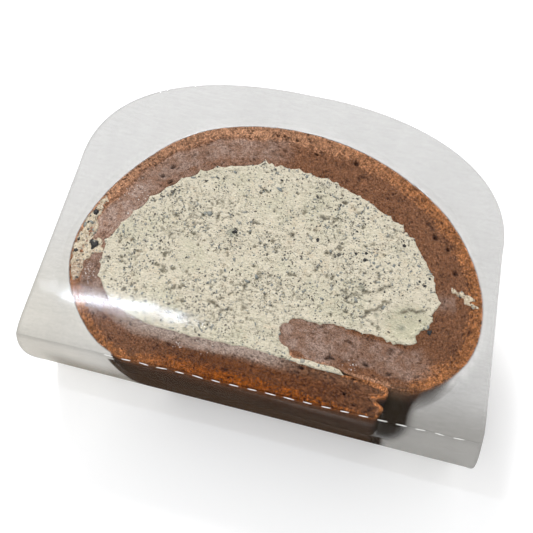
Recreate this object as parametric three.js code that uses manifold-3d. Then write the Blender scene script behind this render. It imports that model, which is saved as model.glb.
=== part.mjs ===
// A slice of chocolate swiss roll with a speckled cream filling, lying on one cut face inside a folded
// sheet of clear film. Millimetres, +Z up. X runs along the roll's flat base, Y from the base to the top
// of the roll, and the roll's own axis is vertical. The origin is on the resting surface, under the middle
// of the whole.
//
// The pieces are worked out in a frame whose Y is the height above the film's creases, which run along the
// roll's base. The group moves them all to the origin.

import * as THREE from "three";
import { mergeVertices } from "three/addons/utils/BufferGeometryUtils.js";
import Module from "manifold-3d";

// Driving dimensions.
const SLICE_THICKNESS = 37.4; // between the two cut faces
const CLEARANCE = 0.3; // kept between neighbouring pieces

// The film: a D-shaped front panel, a strip under the roll's base, and a back panel like the front one.
const FILM_THICKNESS = 0.3;
const FILM_WIDTH = 131; // at the panels' widest, just above the creases
const FILM_HEIGHT = 87.4; // from the crease to the top of the arch
const SHOULDER_HEIGHT = 52; // above the crease, where the sides turn into the arch
const CORNER = { inset: 0.9, height: 5 }; // rounding of the panels' corners at the creases
const LEFT_SIDE = { direction: -1, shoulder: 62.2, squareness: 2.4, bulge: 2.4 };
const RIGHT_SIDE = { direction: 1, shoulder: 60.8, squareness: 2.2, bulge: 4.5 };
const ARCH_STEPS = 18;
const ARCH_END_ANGLE = 86; // degrees round the arch, where it ends in a short straight edge
const STRIP_STEPS = 12;

// The sponge is one sheet, rolled up. Each station on its middle line has a place and the sheet's thickness
// there, from the outer end, along the roll's base and round it, to the inner end that lies in the cream.
const SHEET_STATIONS = [
  { x: 35, y: 4.85, thickness: 8.8 }, // outer end
  { x: 20, y: 5.0, thickness: 9.1 },
  { x: 0, y: 5.8, thickness: 10.7 },
  { x: -20, y: 5.8, thickness: 10.4 },
  { x: -37, y: 6.9, thickness: 12.2 },
  { x: -48, y: 15.0, thickness: 9.6 },
  { x: -52.4, y: 29, thickness: 9.6 },
  { x: -44, y: 48.8, thickness: 10.8 },
  { x: -27, y: 64.4, thickness: 12.2 },
  { x: -4, y: 69.7, thickness: 12.4 }, // top of the roll
  { x: 20.5, y: 65.8, thickness: 12.4 },
  { x: 42, y: 53.0, thickness: 12.4 },
  { x: 52.2, y: 35.5, thickness: 12.8 },
  { x: 51.3, y: 23, thickness: 13.6 },
  { x: 43.5, y: 15.8, thickness: 12.8 }, // where the sheet turns in
  { x: 33, y: 16.2, thickness: 12.4 },
  { x: 20, y: 16.9, thickness: 11.8 },
  { x: 12, y: 17.4, thickness: 9.8 }, // inner end
];
const TOP_STATION = 9;
const LOOP_STATIONS = 15; // the first stations go all the way round the cream
const STEPS_PER_STATION = 9;
const INNER_FACE_RIPPLE = { height: 0.55, waves: 27 }; // scallops where the sponge meets the cream
const INNER_END = { length: 6.6, bluntness: 0.75 };
const OUTER_END = { length: 3.6, bluntness: 0.4, notch: { depth: 0.7, angle: -4, spread: 24 } };
const END_STEPS = 16; // round each end of the sheet

// The cream's upper face is torn and uneven, with one smoother hollow near the sheet's inner turn.
const CREAM_HOLLOW = { x: 40, y: 27, radius: 8, depth: 1.6 };
const CREAM_RIPPLE = { height: 0.35, lengthX: 11, lengthY: 8 };
const CREAM_GRID = 2.5; // spacing of the upper face's grid

const wasm = await Module();
wasm.setup();

// ---- helpers ----

function toSolid(geometry) {
  const bare = geometry.clone();
  bare.deleteAttribute("normal");
  bare.deleteAttribute("uv");
  const merged = mergeVertices(bare);
  return new wasm.Manifold(
    new wasm.Mesh({
      numProp: 3,
      vertProperties: merged.attributes.position.array,
      triVerts: new Uint32Array(merged.index.array),
    }),
  );
}

function toGeometry(solid) {
  const { vertProperties, triVerts } = solid.getMesh();
  const geometry = new THREE.BufferGeometry();
  geometry.setAttribute("position", new THREE.BufferAttribute(vertProperties, 3));
  geometry.setIndex(new THREE.BufferAttribute(triVerts, 1));
  geometry.computeVertexNormals();
  return geometry;
}

function prism(outline, bottom, height) {
  const shape = new THREE.Shape(outline);
  return new THREE.ExtrudeGeometry(shape, { depth: height, bevelEnabled: false }).translate(0, 0, bottom);
}

function namedMesh(name, geometry, finish) {
  const mesh = new THREE.Mesh(geometry, new THREE.MeshStandardMaterial({ name, ...finish }));
  mesh.name = name;
  return mesh;
}

// ---- sponge ----

const sliceBottom = FILM_THICKNESS + CLEARANCE;
const lastStation = SHEET_STATIONS.length - 1;

const middleLine = new THREE.CatmullRomCurve3(
  SHEET_STATIONS.map(({ x, y }) => new THREE.Vector3(x, y, 0)),
  false,
  "centripetal",
);

// The sheet at a place counted in stations: the middle line's point, the direction along it, the direction
// to its right, where the cream is, and the distances from it to the sheet's two faces.
function sheetSection(place) {
  const share = place / lastStation;
  const point = middleLine.getPoint(share);
  const tangent = middleLine.getTangent(share);
  const index = Math.min(Math.floor(place), lastStation - 1);
  const blend = THREE.MathUtils.smoothstep(place - index, 0, 1);
  const { thickness } = SHEET_STATIONS[index];
  const half = THREE.MathUtils.lerp(thickness, SHEET_STATIONS[index + 1].thickness, blend) / 2;
  const fade = Math.sin(Math.PI * share);
  const ripple = INNER_FACE_RIPPLE.height * fade * Math.sin(2 * Math.PI * share * INNER_FACE_RIPPLE.waves);
  return {
    point: new THREE.Vector2(point.x, point.y),
    along: new THREE.Vector2(tangent.x, tangent.y),
    right: new THREE.Vector2(tangent.y, -tangent.x),
    outer: half,
    inner: half + ripple,
  };
}

// The rounded end of the sheet, from one face to the other. outwards is 1 at the inner end and -1 at the
// outer end.
function sheetEnd(section, outwards, { length, bluntness, notch }, growth) {
  return Array.from({ length: END_STEPS - 1 }, (_, i) => {
    const angle = 90 - (180 * (i + 1)) / END_STEPS;
    const turn = THREE.MathUtils.degToRad(angle);
    const dent = notch ? notch.depth * Math.exp(-(((angle - notch.angle) / notch.spread) ** 2)) : 0;
    const reach = (length * (1 - dent) + growth) * Math.cos(turn) ** bluntness;
    const aside = (section.outer + growth) * Math.sin(turn);
    return section.point
      .clone()
      .addScaledVector(section.along, outwards * reach)
      .addScaledVector(section.right, -outwards * aside);
  });
}

// Sections from one station to another.
function sheetSections(first, last) {
  const steps = (last - first) * STEPS_PER_STATION;
  return Array.from({ length: steps + 1 }, (_, i) => sheetSection(first + i / STEPS_PER_STATION));
}

// The closed outline of the sheet from one station to another, grown by a margin. It is cut off square,
// except at the sheet's own ends.
function sheetOutline(first, last, growth) {
  const sections = sheetSections(first, last);
  const aside = ({ point, right }, distance) => point.clone().addScaledVector(right, distance);
  const outerFace = sections.map((section) => aside(section, -section.outer - growth));
  const innerFace = sections.map((section) => aside(section, section.inner + growth));
  const innerEnd = last === lastStation ? sheetEnd(sections.at(-1), 1, INNER_END, growth) : [];
  const outerEnd = first === 0 ? sheetEnd(sections[0], -1, OUTER_END, growth) : [];
  return [...outerFace, ...innerEnd, ...innerFace.reverse(), ...outerEnd];
}

function makeSponge() {
  return prism(sheetOutline(0, lastStation, 0), sliceBottom, SLICE_THICKNESS);
}

// ---- cream ----

// Height of the cream's upper face, measured from the slice's cut face.
function creamRelief(x, y) {
  const { height, lengthX, lengthY } = CREAM_RIPPLE;
  const distance = Math.hypot(x - CREAM_HOLLOW.x, y - CREAM_HOLLOW.y) / CREAM_HOLLOW.radius;
  const hollow = CREAM_HOLLOW.depth * Math.exp(-(distance ** 2));
  const wave = Math.sin((2 * Math.PI * x) / lengthX) * Math.cos((2 * Math.PI * y) / lengthY);
  return height * (wave - 1) - hollow;
}

// A block round the whole roll, up to the cream's uneven upper face.
function creamBlock() {
  const width = FILM_WIDTH;
  const depth = FILM_HEIGHT;
  const columns = Math.round(width / CREAM_GRID);
  const rows = Math.round(depth / CREAM_GRID);
  const block = new THREE.BoxGeometry(width, depth, SLICE_THICKNESS, columns, rows, 1);
  block.translate(0, depth / 2, sliceBottom + SLICE_THICKNESS / 2);
  const position = block.attributes.position;
  for (let i = 0; i < position.count; i++) {
    if (position.getZ(i) > SLICE_THICKNESS / 2) {
      position.setZ(i, sliceBottom + SLICE_THICKNESS + creamRelief(position.getX(i), position.getY(i)));
    }
  }
  return block;
}

// A stretch of the sheet with the clearance round it, taller than the slice.
function sheetCutter(first, last) {
  return toSolid(prism(sheetOutline(first, last, CLEARANCE), 0, SLICE_THICKNESS + 2 * sliceBottom));
}

// The cream fills the space that the sheet goes round, clear of the sheet on every side.
function makeCream() {
  const loop = sheetSections(0, LOOP_STATIONS - 1).map(({ point }) => point);
  const inside = toSolid(prism(loop, sliceBottom, SLICE_THICKNESS))
    .subtract(sheetCutter(0, TOP_STATION + 1))
    .subtract(sheetCutter(TOP_STATION, lastStation));
  const filling = inside.decompose().reduce((a, b) => (a.volume() > b.volume() ? a : b));
  return toGeometry(filling.intersect(toSolid(creamBlock())));
}

// ---- film ----

// Distance from the panel's middle to its edge at a height above its crease: a rounded corner, a straight
// side leaning in to the shoulder, then a squared arch.
function panelReach(height, { shoulder, squareness }) {
  const lean = Math.min(height / SHOULDER_HEIGHT, 1);
  const side = THREE.MathUtils.lerp(FILM_WIDTH / 2, shoulder, lean);
  const rise = Math.max(0, (height - SHOULDER_HEIGHT) / (FILM_HEIGHT - SHOULDER_HEIGHT));
  const corner = CORNER.inset * Math.max(0, 1 - height / CORNER.height) ** 2;
  return side * (1 - rise ** squareness) ** (1 / squareness) - corner;
}

// Heights of a panel's cross rows above its crease, closer together towards the top of the arch.
function panelHeights() {
  const corner = [0.2, 0.5, 1].map((share) => share * CORNER.height);
  const arch = Array.from({ length: ARCH_STEPS + 1 }, (_, i) => {
    const angle = THREE.MathUtils.degToRad((ARCH_END_ANGLE * i) / ARCH_STEPS);
    return SHOULDER_HEIGHT + (FILM_HEIGHT - SHOULDER_HEIGHT) * Math.sin(angle);
  });
  return [...corner, ...arch];
}

// One side edge of the film's middle surface, from the front panel's top, down round the strip, to the back
// panel's top.
function filmEdge(side) {
  const front = sliceBottom + SLICE_THICKNESS + CLEARANCE + FILM_THICKNESS / 2;
  const back = FILM_THICKNESS / 2;
  const edgeX = (height) => side.direction * panelReach(height, side);
  const panel = (z) => panelHeights().map((y) => new THREE.Vector3(edgeX(y), y, z));
  const strip = Array.from({ length: STRIP_STEPS + 1 }, (_, i) => {
    const share = i / STRIP_STEPS;
    const out = side.bulge * 4 * share * (1 - share);
    return new THREE.Vector3(edgeX(0), -out, THREE.MathUtils.lerp(front, back, share));
  });
  return [...panel(front).reverse(), ...strip, ...panel(back)];
}

// The outward normal at each point of an edge, long enough to keep the film's thickness round a fold.
function edgeNormals(edge) {
  const faceNormals = edge.slice(1).map((point, i) => {
    const step = point.clone().sub(edge[i]);
    return new THREE.Vector3(0, step.z, -step.y).normalize();
  });
  return edge.map((_, i) => {
    const before = faceNormals[Math.max(i - 1, 0)];
    const after = faceNormals[Math.min(i, faceNormals.length - 1)];
    const middle = before.clone().add(after).normalize();
    return middle.divideScalar(middle.dot(before));
  });
}

// The film as a closed solid: outer and inner faces between its two side edges, with the rim closed all
// round.
function makeFilm() {
  const edges = [filmEdge(LEFT_SIDE), filmEdge(RIGHT_SIDE)];
  const positions = [];
  for (const offset of [FILM_THICKNESS / 2, -FILM_THICKNESS / 2]) {
    for (const edge of edges) {
      const normals = edgeNormals(edge);
      edge.forEach((point, i) => positions.push(...point.clone().addScaledVector(normals[i], offset)));
    }
  }
  const rows = edges[0].length;
  const [outerLeft, outerRight, innerLeft, innerRight] = [0, 1, 2, 3].map((strip) => strip * rows);
  const indices = [];
  const quad = (a, b, c, d) => indices.push(a, b, c, a, c, d);
  for (let i = 0; i < rows - 1; i++) {
    quad(outerLeft + i, outerLeft + i + 1, outerRight + i + 1, outerRight + i);
    quad(innerRight + i, innerRight + i + 1, innerLeft + i + 1, innerLeft + i);
    quad(innerLeft + i, innerLeft + i + 1, outerLeft + i + 1, outerLeft + i);
    quad(outerRight + i, outerRight + i + 1, innerRight + i + 1, innerRight + i);
  }
  const last = rows - 1;
  quad(outerLeft, outerRight, innerRight, innerLeft);
  quad(outerLeft + last, innerLeft + last, innerRight + last, outerRight + last);
  const geometry = new THREE.BufferGeometry();
  geometry.setAttribute("position", new THREE.Float32BufferAttribute(positions, 3));
  geometry.setIndex(indices);
  geometry.computeVertexNormals();
  return geometry;
}

// ---- the whole ----

const bakedSponge = { color: "#6e4128", roughness: 0.9, metalness: 0 };
const whippedCream = { color: "#cdc6aa", roughness: 0.7, metalness: 0 };
const clearFilm = { color: "#eef0f0", roughness: 0.08, metalness: 0, transparent: true, opacity: 0.2 };

const slice = new THREE.Group();
slice.add(namedMesh("sponge", makeSponge(), bakedSponge));
slice.add(namedMesh("cream", makeCream(), whippedCream));
slice.add(namedMesh("film", makeFilm(), clearFilm));

const middle = new THREE.Box3().setFromObject(slice).getCenter(new THREE.Vector3());
slice.position.set(-middle.x, -middle.y, 0);

export default slice;
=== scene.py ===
"""The looks of a slice of chocolate swiss roll with a speckled cream filling, lying inside a folded sheet of
clear film.

Shapes are worked out in millimetres, in the part's working frame: x runs along the roll's flat base, y is the
height above the film's creases, which run along that base, and z is the height above the resting surface.
to_frame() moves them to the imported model's frame, in metres.
"""

import math

import bpy
import numpy as np
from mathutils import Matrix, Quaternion, Vector
from mathutils.geometry import delaunay_2d_cdt
from mathutils.kdtree import KDTree

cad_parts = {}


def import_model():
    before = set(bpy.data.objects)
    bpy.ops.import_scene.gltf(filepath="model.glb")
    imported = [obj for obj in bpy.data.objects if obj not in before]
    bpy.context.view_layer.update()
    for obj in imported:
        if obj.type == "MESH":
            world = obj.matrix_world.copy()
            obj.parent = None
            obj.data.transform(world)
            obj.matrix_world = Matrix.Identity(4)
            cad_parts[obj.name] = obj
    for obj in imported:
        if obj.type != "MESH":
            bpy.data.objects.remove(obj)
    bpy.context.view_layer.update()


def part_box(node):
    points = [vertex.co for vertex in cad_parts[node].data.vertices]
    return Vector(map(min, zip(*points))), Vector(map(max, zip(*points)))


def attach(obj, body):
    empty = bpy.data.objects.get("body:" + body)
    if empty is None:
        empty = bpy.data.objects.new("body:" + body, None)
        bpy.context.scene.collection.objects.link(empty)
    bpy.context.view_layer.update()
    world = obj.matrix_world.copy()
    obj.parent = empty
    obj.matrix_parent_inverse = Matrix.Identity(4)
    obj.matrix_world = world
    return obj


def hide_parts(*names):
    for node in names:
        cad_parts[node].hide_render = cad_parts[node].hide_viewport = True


SEED = 20
MM = 0.001

# ---- driving dimensions, as in the part's source ----

SLICE_THICKNESS = 37.4  # between the two cut faces
CLEARANCE = 0.3
FILM_THICKNESS = 0.3
FILM_WIDTH = 131.0
FILM_HEIGHT = 87.4
SHOULDER_HEIGHT = 52.0
CORNER_HEIGHT = 5.0
ARCH_END_ANGLE = 86.0  # degrees

# The sheet's stations: place on its middle line, and its thickness there.
SHEET_STATIONS = np.array(
    [
        (35, 4.85, 8.8),  # outer end
        (20, 5.0, 9.1),
        (0, 5.8, 10.7),
        (-20, 5.8, 10.4),
        (-37, 6.9, 12.2),
        (-48, 15.0, 9.6),
        (-52.4, 29, 9.6),
        (-44, 48.8, 10.8),
        (-27, 64.4, 12.2),
        (-4, 69.7, 12.4),  # top of the roll
        (20.5, 65.8, 12.4),
        (42, 53.0, 12.4),
        (52.2, 35.5, 12.8),
        (51.3, 23, 13.6),
        (43.5, 15.8, 12.8),  # where the sheet turns in
        (33, 16.2, 12.4),
        (20, 16.9, 11.8),
        (12, 17.4, 9.8),  # inner end
    ]
)
LAST_STATION = len(SHEET_STATIONS) - 1
INNER_END = {"length": 6.6, "bluntness": 0.75}
CREAM_HOLLOW = {"x": 40.0, "y": 27.0, "radius": 8.0, "depth": 1.6}

SLICE_BOTTOM = FILM_THICKNESS + CLEARANCE
CUT_FACE = SLICE_BOTTOM + SLICE_THICKNESS  # height of the upper cut face

# ---- shapes that are finer here than in the part's source ----

CORNER_INSET = 0.5
# The film's sides. Only flare, how far the strip's edge stands out half way, and tuck, how far the back
# panel's corner is drawn in, are not in the part's source.
LEFT_SIDE = {"direction": -1, "shoulder": 62.2, "squareness": 2.4, "bulge": 2.4, "flare": 1.9, "tuck": 1.5}
RIGHT_SIDE = {"direction": 1, "shoulder": 60.8, "squareness": 2.2, "bulge": 4.5, "flare": 0.9, "tuck": 3.0}
INNER_END_POINTS = 24
OUTER_END = {"length": 3.6, "bluntness": 0.5}
TAIL_NOTCH = {"depth": 3.0, "aside": 0.1, "width": 1.1, "reach": 5.0}
TAIL_SKEW = 0.25  # half of how far the tail's upper lobe stands out past the lower one
TAIL_FACE = {"inset": 0.4, "bottom": 1.0, "top": 8.2}  # the straight end of the slice's outline
TAIL_FOLD = [(37.0, 4.9), (34.4, 5.6)]  # a crease in the cut face that runs in from the notch
RING_FOOT = 14.6  # station where the sheet has turned in above the tail and leaves the slice's outline

# ---- the camera, which looks down on the slice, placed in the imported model's frame but in millimetres ----

CAMERA_PLACE = Vector((35.12, -78.83, 312.7))
CAMERA_TARGET = Vector((-4.25, -2.0, 19.0))
CAMERA_ROLL = -13.7  # degrees
LENS = 69.42
SENSOR = 36.0


def main():
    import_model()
    bpy.context.scene.view_settings.view_transform = "Standard"
    make_camera()
    make_studio()
    sponge = make_sponge()
    cream = make_cream()
    smears = make_smears()
    make_tea(cream, smears, sponge)
    make_beads(sponge)
    make_film()
    make_perforation()


# ---- numbers: noise and places ----


# Large odd factors that scramble whole numbers, and the masks that keep 32 and 24 bits of the results.
HASH_FACTORS = (374761393, 668265263, 1442695041, 1274126177)
BITS_32 = 0xFFFFFFFF
BITS_24 = 0xFFFFFF


def hashed(i, j, seed):
    """A number from 0 to 1 for each whole-number place, the same in every run."""
    for_i, for_j, for_seed, again = HASH_FACTORS
    mixed = (i * for_i + j * for_j + seed * for_seed) & BITS_32
    mixed = ((mixed ^ (mixed >> 13)) * again) & BITS_32
    return ((mixed ^ (mixed >> 16)) & BITS_24) / BITS_24


def noise(x, y, seed):
    """Smooth noise from -1 to 1 with features one unit across."""
    i, j = np.floor(x).astype(np.int64), np.floor(y).astype(np.int64)
    u, v = x - i, y - j
    u, v = (w * w * (3 - 2 * w) for w in (u, v))
    low = hashed(i, j, seed) * (1 - u) + hashed(i + 1, j, seed) * u
    high = hashed(i, j + 1, seed) * (1 - u) + hashed(i + 1, j + 1, seed) * u
    return 2 * (low * (1 - v) + high * v) - 1


def fbm(x, y, seed, octaves=4, gain=0.5):
    """Noise of several octaves, from about -1 to 1."""
    total, height, reach = 0.0, 1.0, 0.0
    for octave in range(octaves):
        total = total + height * noise(x * 2.0**octave + 17.3 * octave, y * 2.0**octave, seed + octave)
        reach += height
        height *= gain
    return total / reach


def smoothstep(low, high, value):
    share = np.clip((value - low) / (high - low), 0, 1)
    return share * share * (3 - 2 * share)


def lerp(a, b, share):
    return a + (b - a) * share


def band(value, low, full, last, gone):
    """A share that rises from 0 at low to 1 at full, and falls from 1 at last to 0 at gone."""
    return smoothstep(low, full, value) * smoothstep(gone, last, value)


def bell(*ratios):
    """1 where every ratio is 0, falling to 0 as they grow."""
    return np.exp(-sum(ratio**2 for ratio in ratios))


# ---- the rolled sheet ----


def middle_line(place):
    """Points on the sheet's middle line and directions along it, at places counted in stations: a
    centripetal Catmull-Rom curve through the stations."""
    stations = SHEET_STATIONS[:, :2]
    ends = 2 * stations[0] - stations[1], 2 * stations[-1] - stations[-2]
    points = np.vstack([ends[0], stations, ends[1]])
    index = np.clip(np.floor(place).astype(int), 0, LAST_STATION - 1)
    share = (place - index)[:, None]
    a, b, c, d = (points[index + i] for i in range(4))
    ab, bc, cd = (((q - p) ** 2).sum(1)[:, None] ** 0.25 for p, q in ((a, b), (b, c), (c, d)))
    leave = ((b - a) / ab - (c - a) / (ab + bc) + (c - b) / bc) * bc
    arrive = ((c - b) / bc - (d - b) / (bc + cd) + (d - c) / cd) * bc
    square = 3 * (c - b) - 2 * leave - arrive
    cube = 2 * (b - c) + leave + arrive
    point = b + share * (leave + share * (square + share * cube))
    slope = leave + share * (2 * square + 3 * share * cube)
    return point, slope / np.linalg.norm(slope, axis=1)[:, None]


def half_thickness(place):
    index = np.clip(np.floor(place).astype(int), 0, LAST_STATION - 1)
    blend = smoothstep(0, 1, place - index)
    thickness = SHEET_STATIONS[:, 2]
    return lerp(thickness[index], thickness[index + 1], blend) / 2


def to_right(along):
    """The direction to the right of a direction, which is the side where the cream is."""
    return np.stack([along[:, 1], -along[:, 0]], 1)


def sheet_face(place, side, growth=0.0):
    """Points on one face of the sheet: side is -1 for the outer face and 1 for the inner one."""
    point, along = middle_line(place)
    return point + to_right(along) * (side * (half_thickness(place) + growth))[:, None]


def tongue_lobe(place, beyond):
    """How far the lower corner of the sheet's inner end hangs down towards the base. beyond is the distance
    past the last station."""
    hang = 0.45 * smoothstep(15.9, 16.3, place) + 1.15 * smoothstep(16.4, 16.95, place)
    return hang * smoothstep(2.4, 1.0, beyond)


def inner_end_points():
    """The rounded inner end of the sheet, from the inner face to the outer face."""
    place = np.full(INNER_END_POINTS, float(LAST_STATION))
    point, along = middle_line(place)
    turn = np.linspace(math.pi / 2, -math.pi / 2, INNER_END_POINTS + 2)[1:-1]
    reach = INNER_END["length"] * np.cos(turn) ** INNER_END["bluntness"]
    aside = half_thickness(place) * np.sin(turn)
    aside = aside - tongue_lobe(place, reach) * smoothstep(0.0, -0.6, np.sin(turn))
    return point + along * reach[:, None] + to_right(along) * aside[:, None]


def slice_outline():
    """The slice's outline from above, as a closed line."""
    around = sheet_face(np.linspace(0, RING_FOOT, 700), -1)
    tip = SHEET_STATIONS[0, 0] + OUTER_END["length"] - TAIL_FACE["inset"]
    return np.vstack([around, [(tip, TAIL_FACE["top"]), (tip, TAIL_FACE["bottom"])]])


def frame_offset():
    """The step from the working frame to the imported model's, in millimetres."""
    place = np.linspace(0, LAST_STATION, 2000)
    outer = sheet_face(place, -1)
    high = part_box("sponge")[1] / MM
    return np.array([high.x - outer[:, 0].max(), high.y - outer[:, 1].max(), 0.0])


def to_frame(points):
    return (np.asarray(points, float) + frame_offset()) * MM


# ---- meshes ----


def make_mesh(name, points, faces, materials, node=None, values=None, kinds=None):
    """A piece from points in the working frame. It rides on the root body, and stands for a CAD node if one
    is named. values holds numbers and vectors for each point, for the materials to read, and kinds holds
    which of the materials each face has."""
    mesh = bpy.data.meshes.new(name)
    mesh.from_pydata(to_frame(points), [], faces)
    mesh.validate()
    for key, value in (values or {}).items():
        kind, field = ("FLOAT_VECTOR", "vector") if value.ndim == 2 else ("FLOAT", "value")
        attribute = mesh.attributes.new(key, kind, "POINT")
        attribute.data.foreach_set(field, value.astype(np.float32).ravel())
    for material in materials:
        mesh.materials.append(material)
    if kinds is not None:
        mesh.polygons.foreach_set("material_index", kinds)
    mesh.polygons.foreach_set("use_smooth", np.full(len(mesh.polygons), True))
    piece = bpy.data.objects.new(name, mesh)
    bpy.context.scene.collection.objects.link(piece)
    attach(piece, "root")
    if node:
        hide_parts(node)
    return piece


def grid_faces(rows, columns, wrap=False):
    """Quads between the points of a grid, whose last column joins its first if wrap is set."""
    across = columns if wrap else columns - 1
    i, j = np.meshgrid(np.arange(rows - 1), np.arange(across), indexing="ij")
    after = (j + 1) % columns
    corners = (i * columns + j, i * columns + after, (i + 1) * columns + after, (i + 1) * columns + j)
    return np.stack([c.ravel() for c in corners], 1)


# ---- materials ----


def srgb(red, green, blue):
    """The linear colour of an sRGB one given from 0 to 255."""
    shares = [v / 255 for v in (red, green, blue)]
    linear = [v / 12.92 if v <= 0.04045 else ((v + 0.055) / 1.055) ** 2.4 for v in shares]
    return (*linear, 1.0)


class Wire:
    """What comes out of a node. Sums, products and ramps of wires are made by further nodes."""

    def __init__(self, shader, socket):
        self.shader = shader
        self.socket = socket

    def __add__(self, other):
        return self.shader.math("ADD", self, other)

    def __sub__(self, other):
        return self.shader.math("SUBTRACT", self, other)

    def __rsub__(self, other):
        return self.shader.math("SUBTRACT", other, self)

    def __mul__(self, other):
        return self.shader.math("MULTIPLY", self, other)

    def ramp(self, low, high, start=0.0, end=1.0):
        """The wire's number mapped from low..high to start..end, smoothly."""
        inputs = {"Value": self, "From Min": low, "From Max": high, "To Min": start, "To Max": end}
        return self.shader.wire("Result", "ShaderNodeMapRange", inputs, interpolation_type="SMOOTHSTEP")


class Shader:
    """A material with one Principled shader, and short calls for the nodes in front of it."""

    def __init__(self, name, **settings):
        self.material = bpy.data.materials.new(name)
        self.material.use_nodes = True
        self.tree = self.material.node_tree
        self.principled = self.tree.nodes["Principled BSDF"]
        self.output = self.tree.nodes["Material Output"]
        for key, value in settings.items():
            self.set(key.replace("_", " "), value)

    def node(self, kind, inputs=None, **settings):
        made = self.tree.nodes.new(kind)
        for key, value in settings.items():
            setattr(made, key, value)
        for key, value in (inputs or {}).items():
            self.join(value, made.inputs[key])
        return made

    def wire(self, output, kind, inputs=None, **settings):
        return Wire(self, self.node(kind, inputs, **settings).outputs[output])

    def join(self, value, socket):
        if isinstance(value, Wire):
            self.tree.links.new(value.socket, socket)
        else:
            socket.default_value = value

    def set(self, key, value):
        self.join(value, self.principled.inputs[key])

    def number(self, name):
        return self.wire("Fac", "ShaderNodeAttribute", attribute_name=name)

    def vector(self, name, scale=(1, 1, 1)):
        source = self.wire("Vector", "ShaderNodeAttribute", attribute_name=name)
        return self.wire(0, "ShaderNodeVectorMath", {0: source, 1: scale}, operation="MULTIPLY")

    def noise(self, vector, scale, detail=4.0, roughness=0.6):
        inputs = {"Vector": vector, "Scale": scale, "Detail": detail, "Roughness": roughness}
        return self.wire("Fac", "ShaderNodeTexNoise", inputs)

    def math(self, operation, a, b=0.0):
        return self.wire(0, "ShaderNodeMath", {0: a, 1: b}, operation=operation)

    def most(self, first, *others):
        """The largest of some numbers."""
        for other in others:
            first = self.math("MAXIMUM", first, other)
        return first

    def mix(self, share, a, b, blend="MIX"):
        inputs = {"Factor": share, 6: a, 7: b}
        return self.wire(2, "ShaderNodeMix", inputs, data_type="RGBA", blend_type=blend)

    def layers(self, colour, covers):
        """A colour with others laid over it in turn. Each cover is a share and a colour."""
        for share, cover in covers:
            colour = self.mix(share, colour, cover)
        return colour

    def tints(self, colour, factors):
        """A colour multiplied by each factor in turn."""
        for factor in factors:
            colour = self.mix(1.0, colour, factor, "MULTIPLY")
        return colour

    def pores(self, vector, scale, share, size):
        """1 in the middle of scattered round pores and 0 outside them. share is how many cells hold one."""
        cells = self.node("ShaderNodeTexVoronoi", {"Vector": vector, "Scale": scale})
        lot = self.wire(0, "ShaderNodeSeparateColor", {0: Wire(self, cells.outputs["Color"])})
        near = Wire(self, cells.outputs["Distance"]).ramp(size * 0.55, size, 1.0, 0.0)
        return self.math("LESS_THAN", lot, share) * near

    def hairlines(self, vector, scale, breadth, gate):
        """1 along scattered thin curved lines, and 0 away from them."""
        away = self.math("ABSOLUTE", self.noise(vector, scale, 3.0) - 0.5)
        chosen = self.noise(vector, scale * 1.3, 2.0).ramp(gate, gate + 0.06)
        return away.ramp(0.0, breadth, 1.0, 0.0) * chosen

    def finish(self, colour, relief, depth, strength):
        """The shader's colour, and a bump as deep as a height in metres."""
        self.set("Base Color", colour)
        inputs = {"Height": relief, "Distance": depth, "Strength": strength}
        self.set("Normal", self.wire("Normal", "ShaderNodeBump", inputs))
        return self.material


# ---- camera and studio ----


def make_camera():
    data = bpy.data.cameras.new("camera")
    data.lens = LENS
    data.sensor_width = SENSOR
    data.clip_start = 0.01
    camera = bpy.data.objects.new("camera", data)
    camera.location = CAMERA_PLACE * MM
    facing = (CAMERA_PLACE - CAMERA_TARGET).to_track_quat("Z", "Y")
    camera.rotation_mode = "QUATERNION"
    camera.rotation_quaternion = facing @ Quaternion((0, 0, 1), math.radians(CAMERA_ROLL))
    bpy.context.scene.collection.objects.link(camera)
    bpy.context.scene.camera = camera


def add_light(name, data, place, rotation):
    light = bpy.data.objects.new(name, data)
    light.location = place
    light.rotation_euler = rotation
    bpy.context.scene.collection.objects.link(light)


def add_lamp(lamp):
    data = bpy.data.lights.new(lamp["name"], "AREA")
    data.shape = "ELLIPSE"
    data.size, data.size_y = lamp["size"]
    data.energy = lamp["power"]
    data.color = LAMP_COLOUR
    add_light(lamp["name"], data, lamp["place"], (0, 0, math.radians(lamp["turn"])))


WORLD_STRENGTH = 0.92
KEY_STRENGTH = 1.76
KEY_SPREAD = 12.0  # degrees
KEY_FROM = (-0.5, 1.0, 0.9)
LAMP_COLOUR = (0.86, 0.92, 1)
# Lamps that the film mirrors: place, length and breadth in metres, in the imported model's frame, turn from
# above in degrees, and power in watts.
LAMPS = [
    {"name": "streak", "place": (-0.3115, 0.1594, 1.0), "size": (0.115, 0.0034), "turn": 3.8, "power": 0.49},
    {"name": "glint", "place": (-0.2362, 0.1544, 1.0), "size": (0.036, 0.010), "turn": -12, "power": 0.09},
    {"name": "glow", "place": (-0.304, 0.162, 1.02), "size": (0.22, 0.019), "turn": -3.4, "power": 0.29},
]
FLOOR_SIDE = 3.0
FLOOR_COLOUR = (0.97, 0.97, 0.97, 1)
FLOOR_GLOW = 0.12


def make_studio():
    """A pale floor, even pale surroundings, a soft key from beyond the roll's upper left, and three lamps
    that the film mirrors as a streak, a glint beside it and a glow round it."""
    make_world()
    sun = bpy.data.lights.new("key", "SUN")
    sun.energy = KEY_STRENGTH
    sun.angle = math.radians(KEY_SPREAD)
    add_light("key", sun, KEY_FROM, Vector(KEY_FROM).to_track_quat("Z", "Y").to_euler())
    for lamp in LAMPS:
        add_lamp(lamp)
    make_floor()


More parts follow.
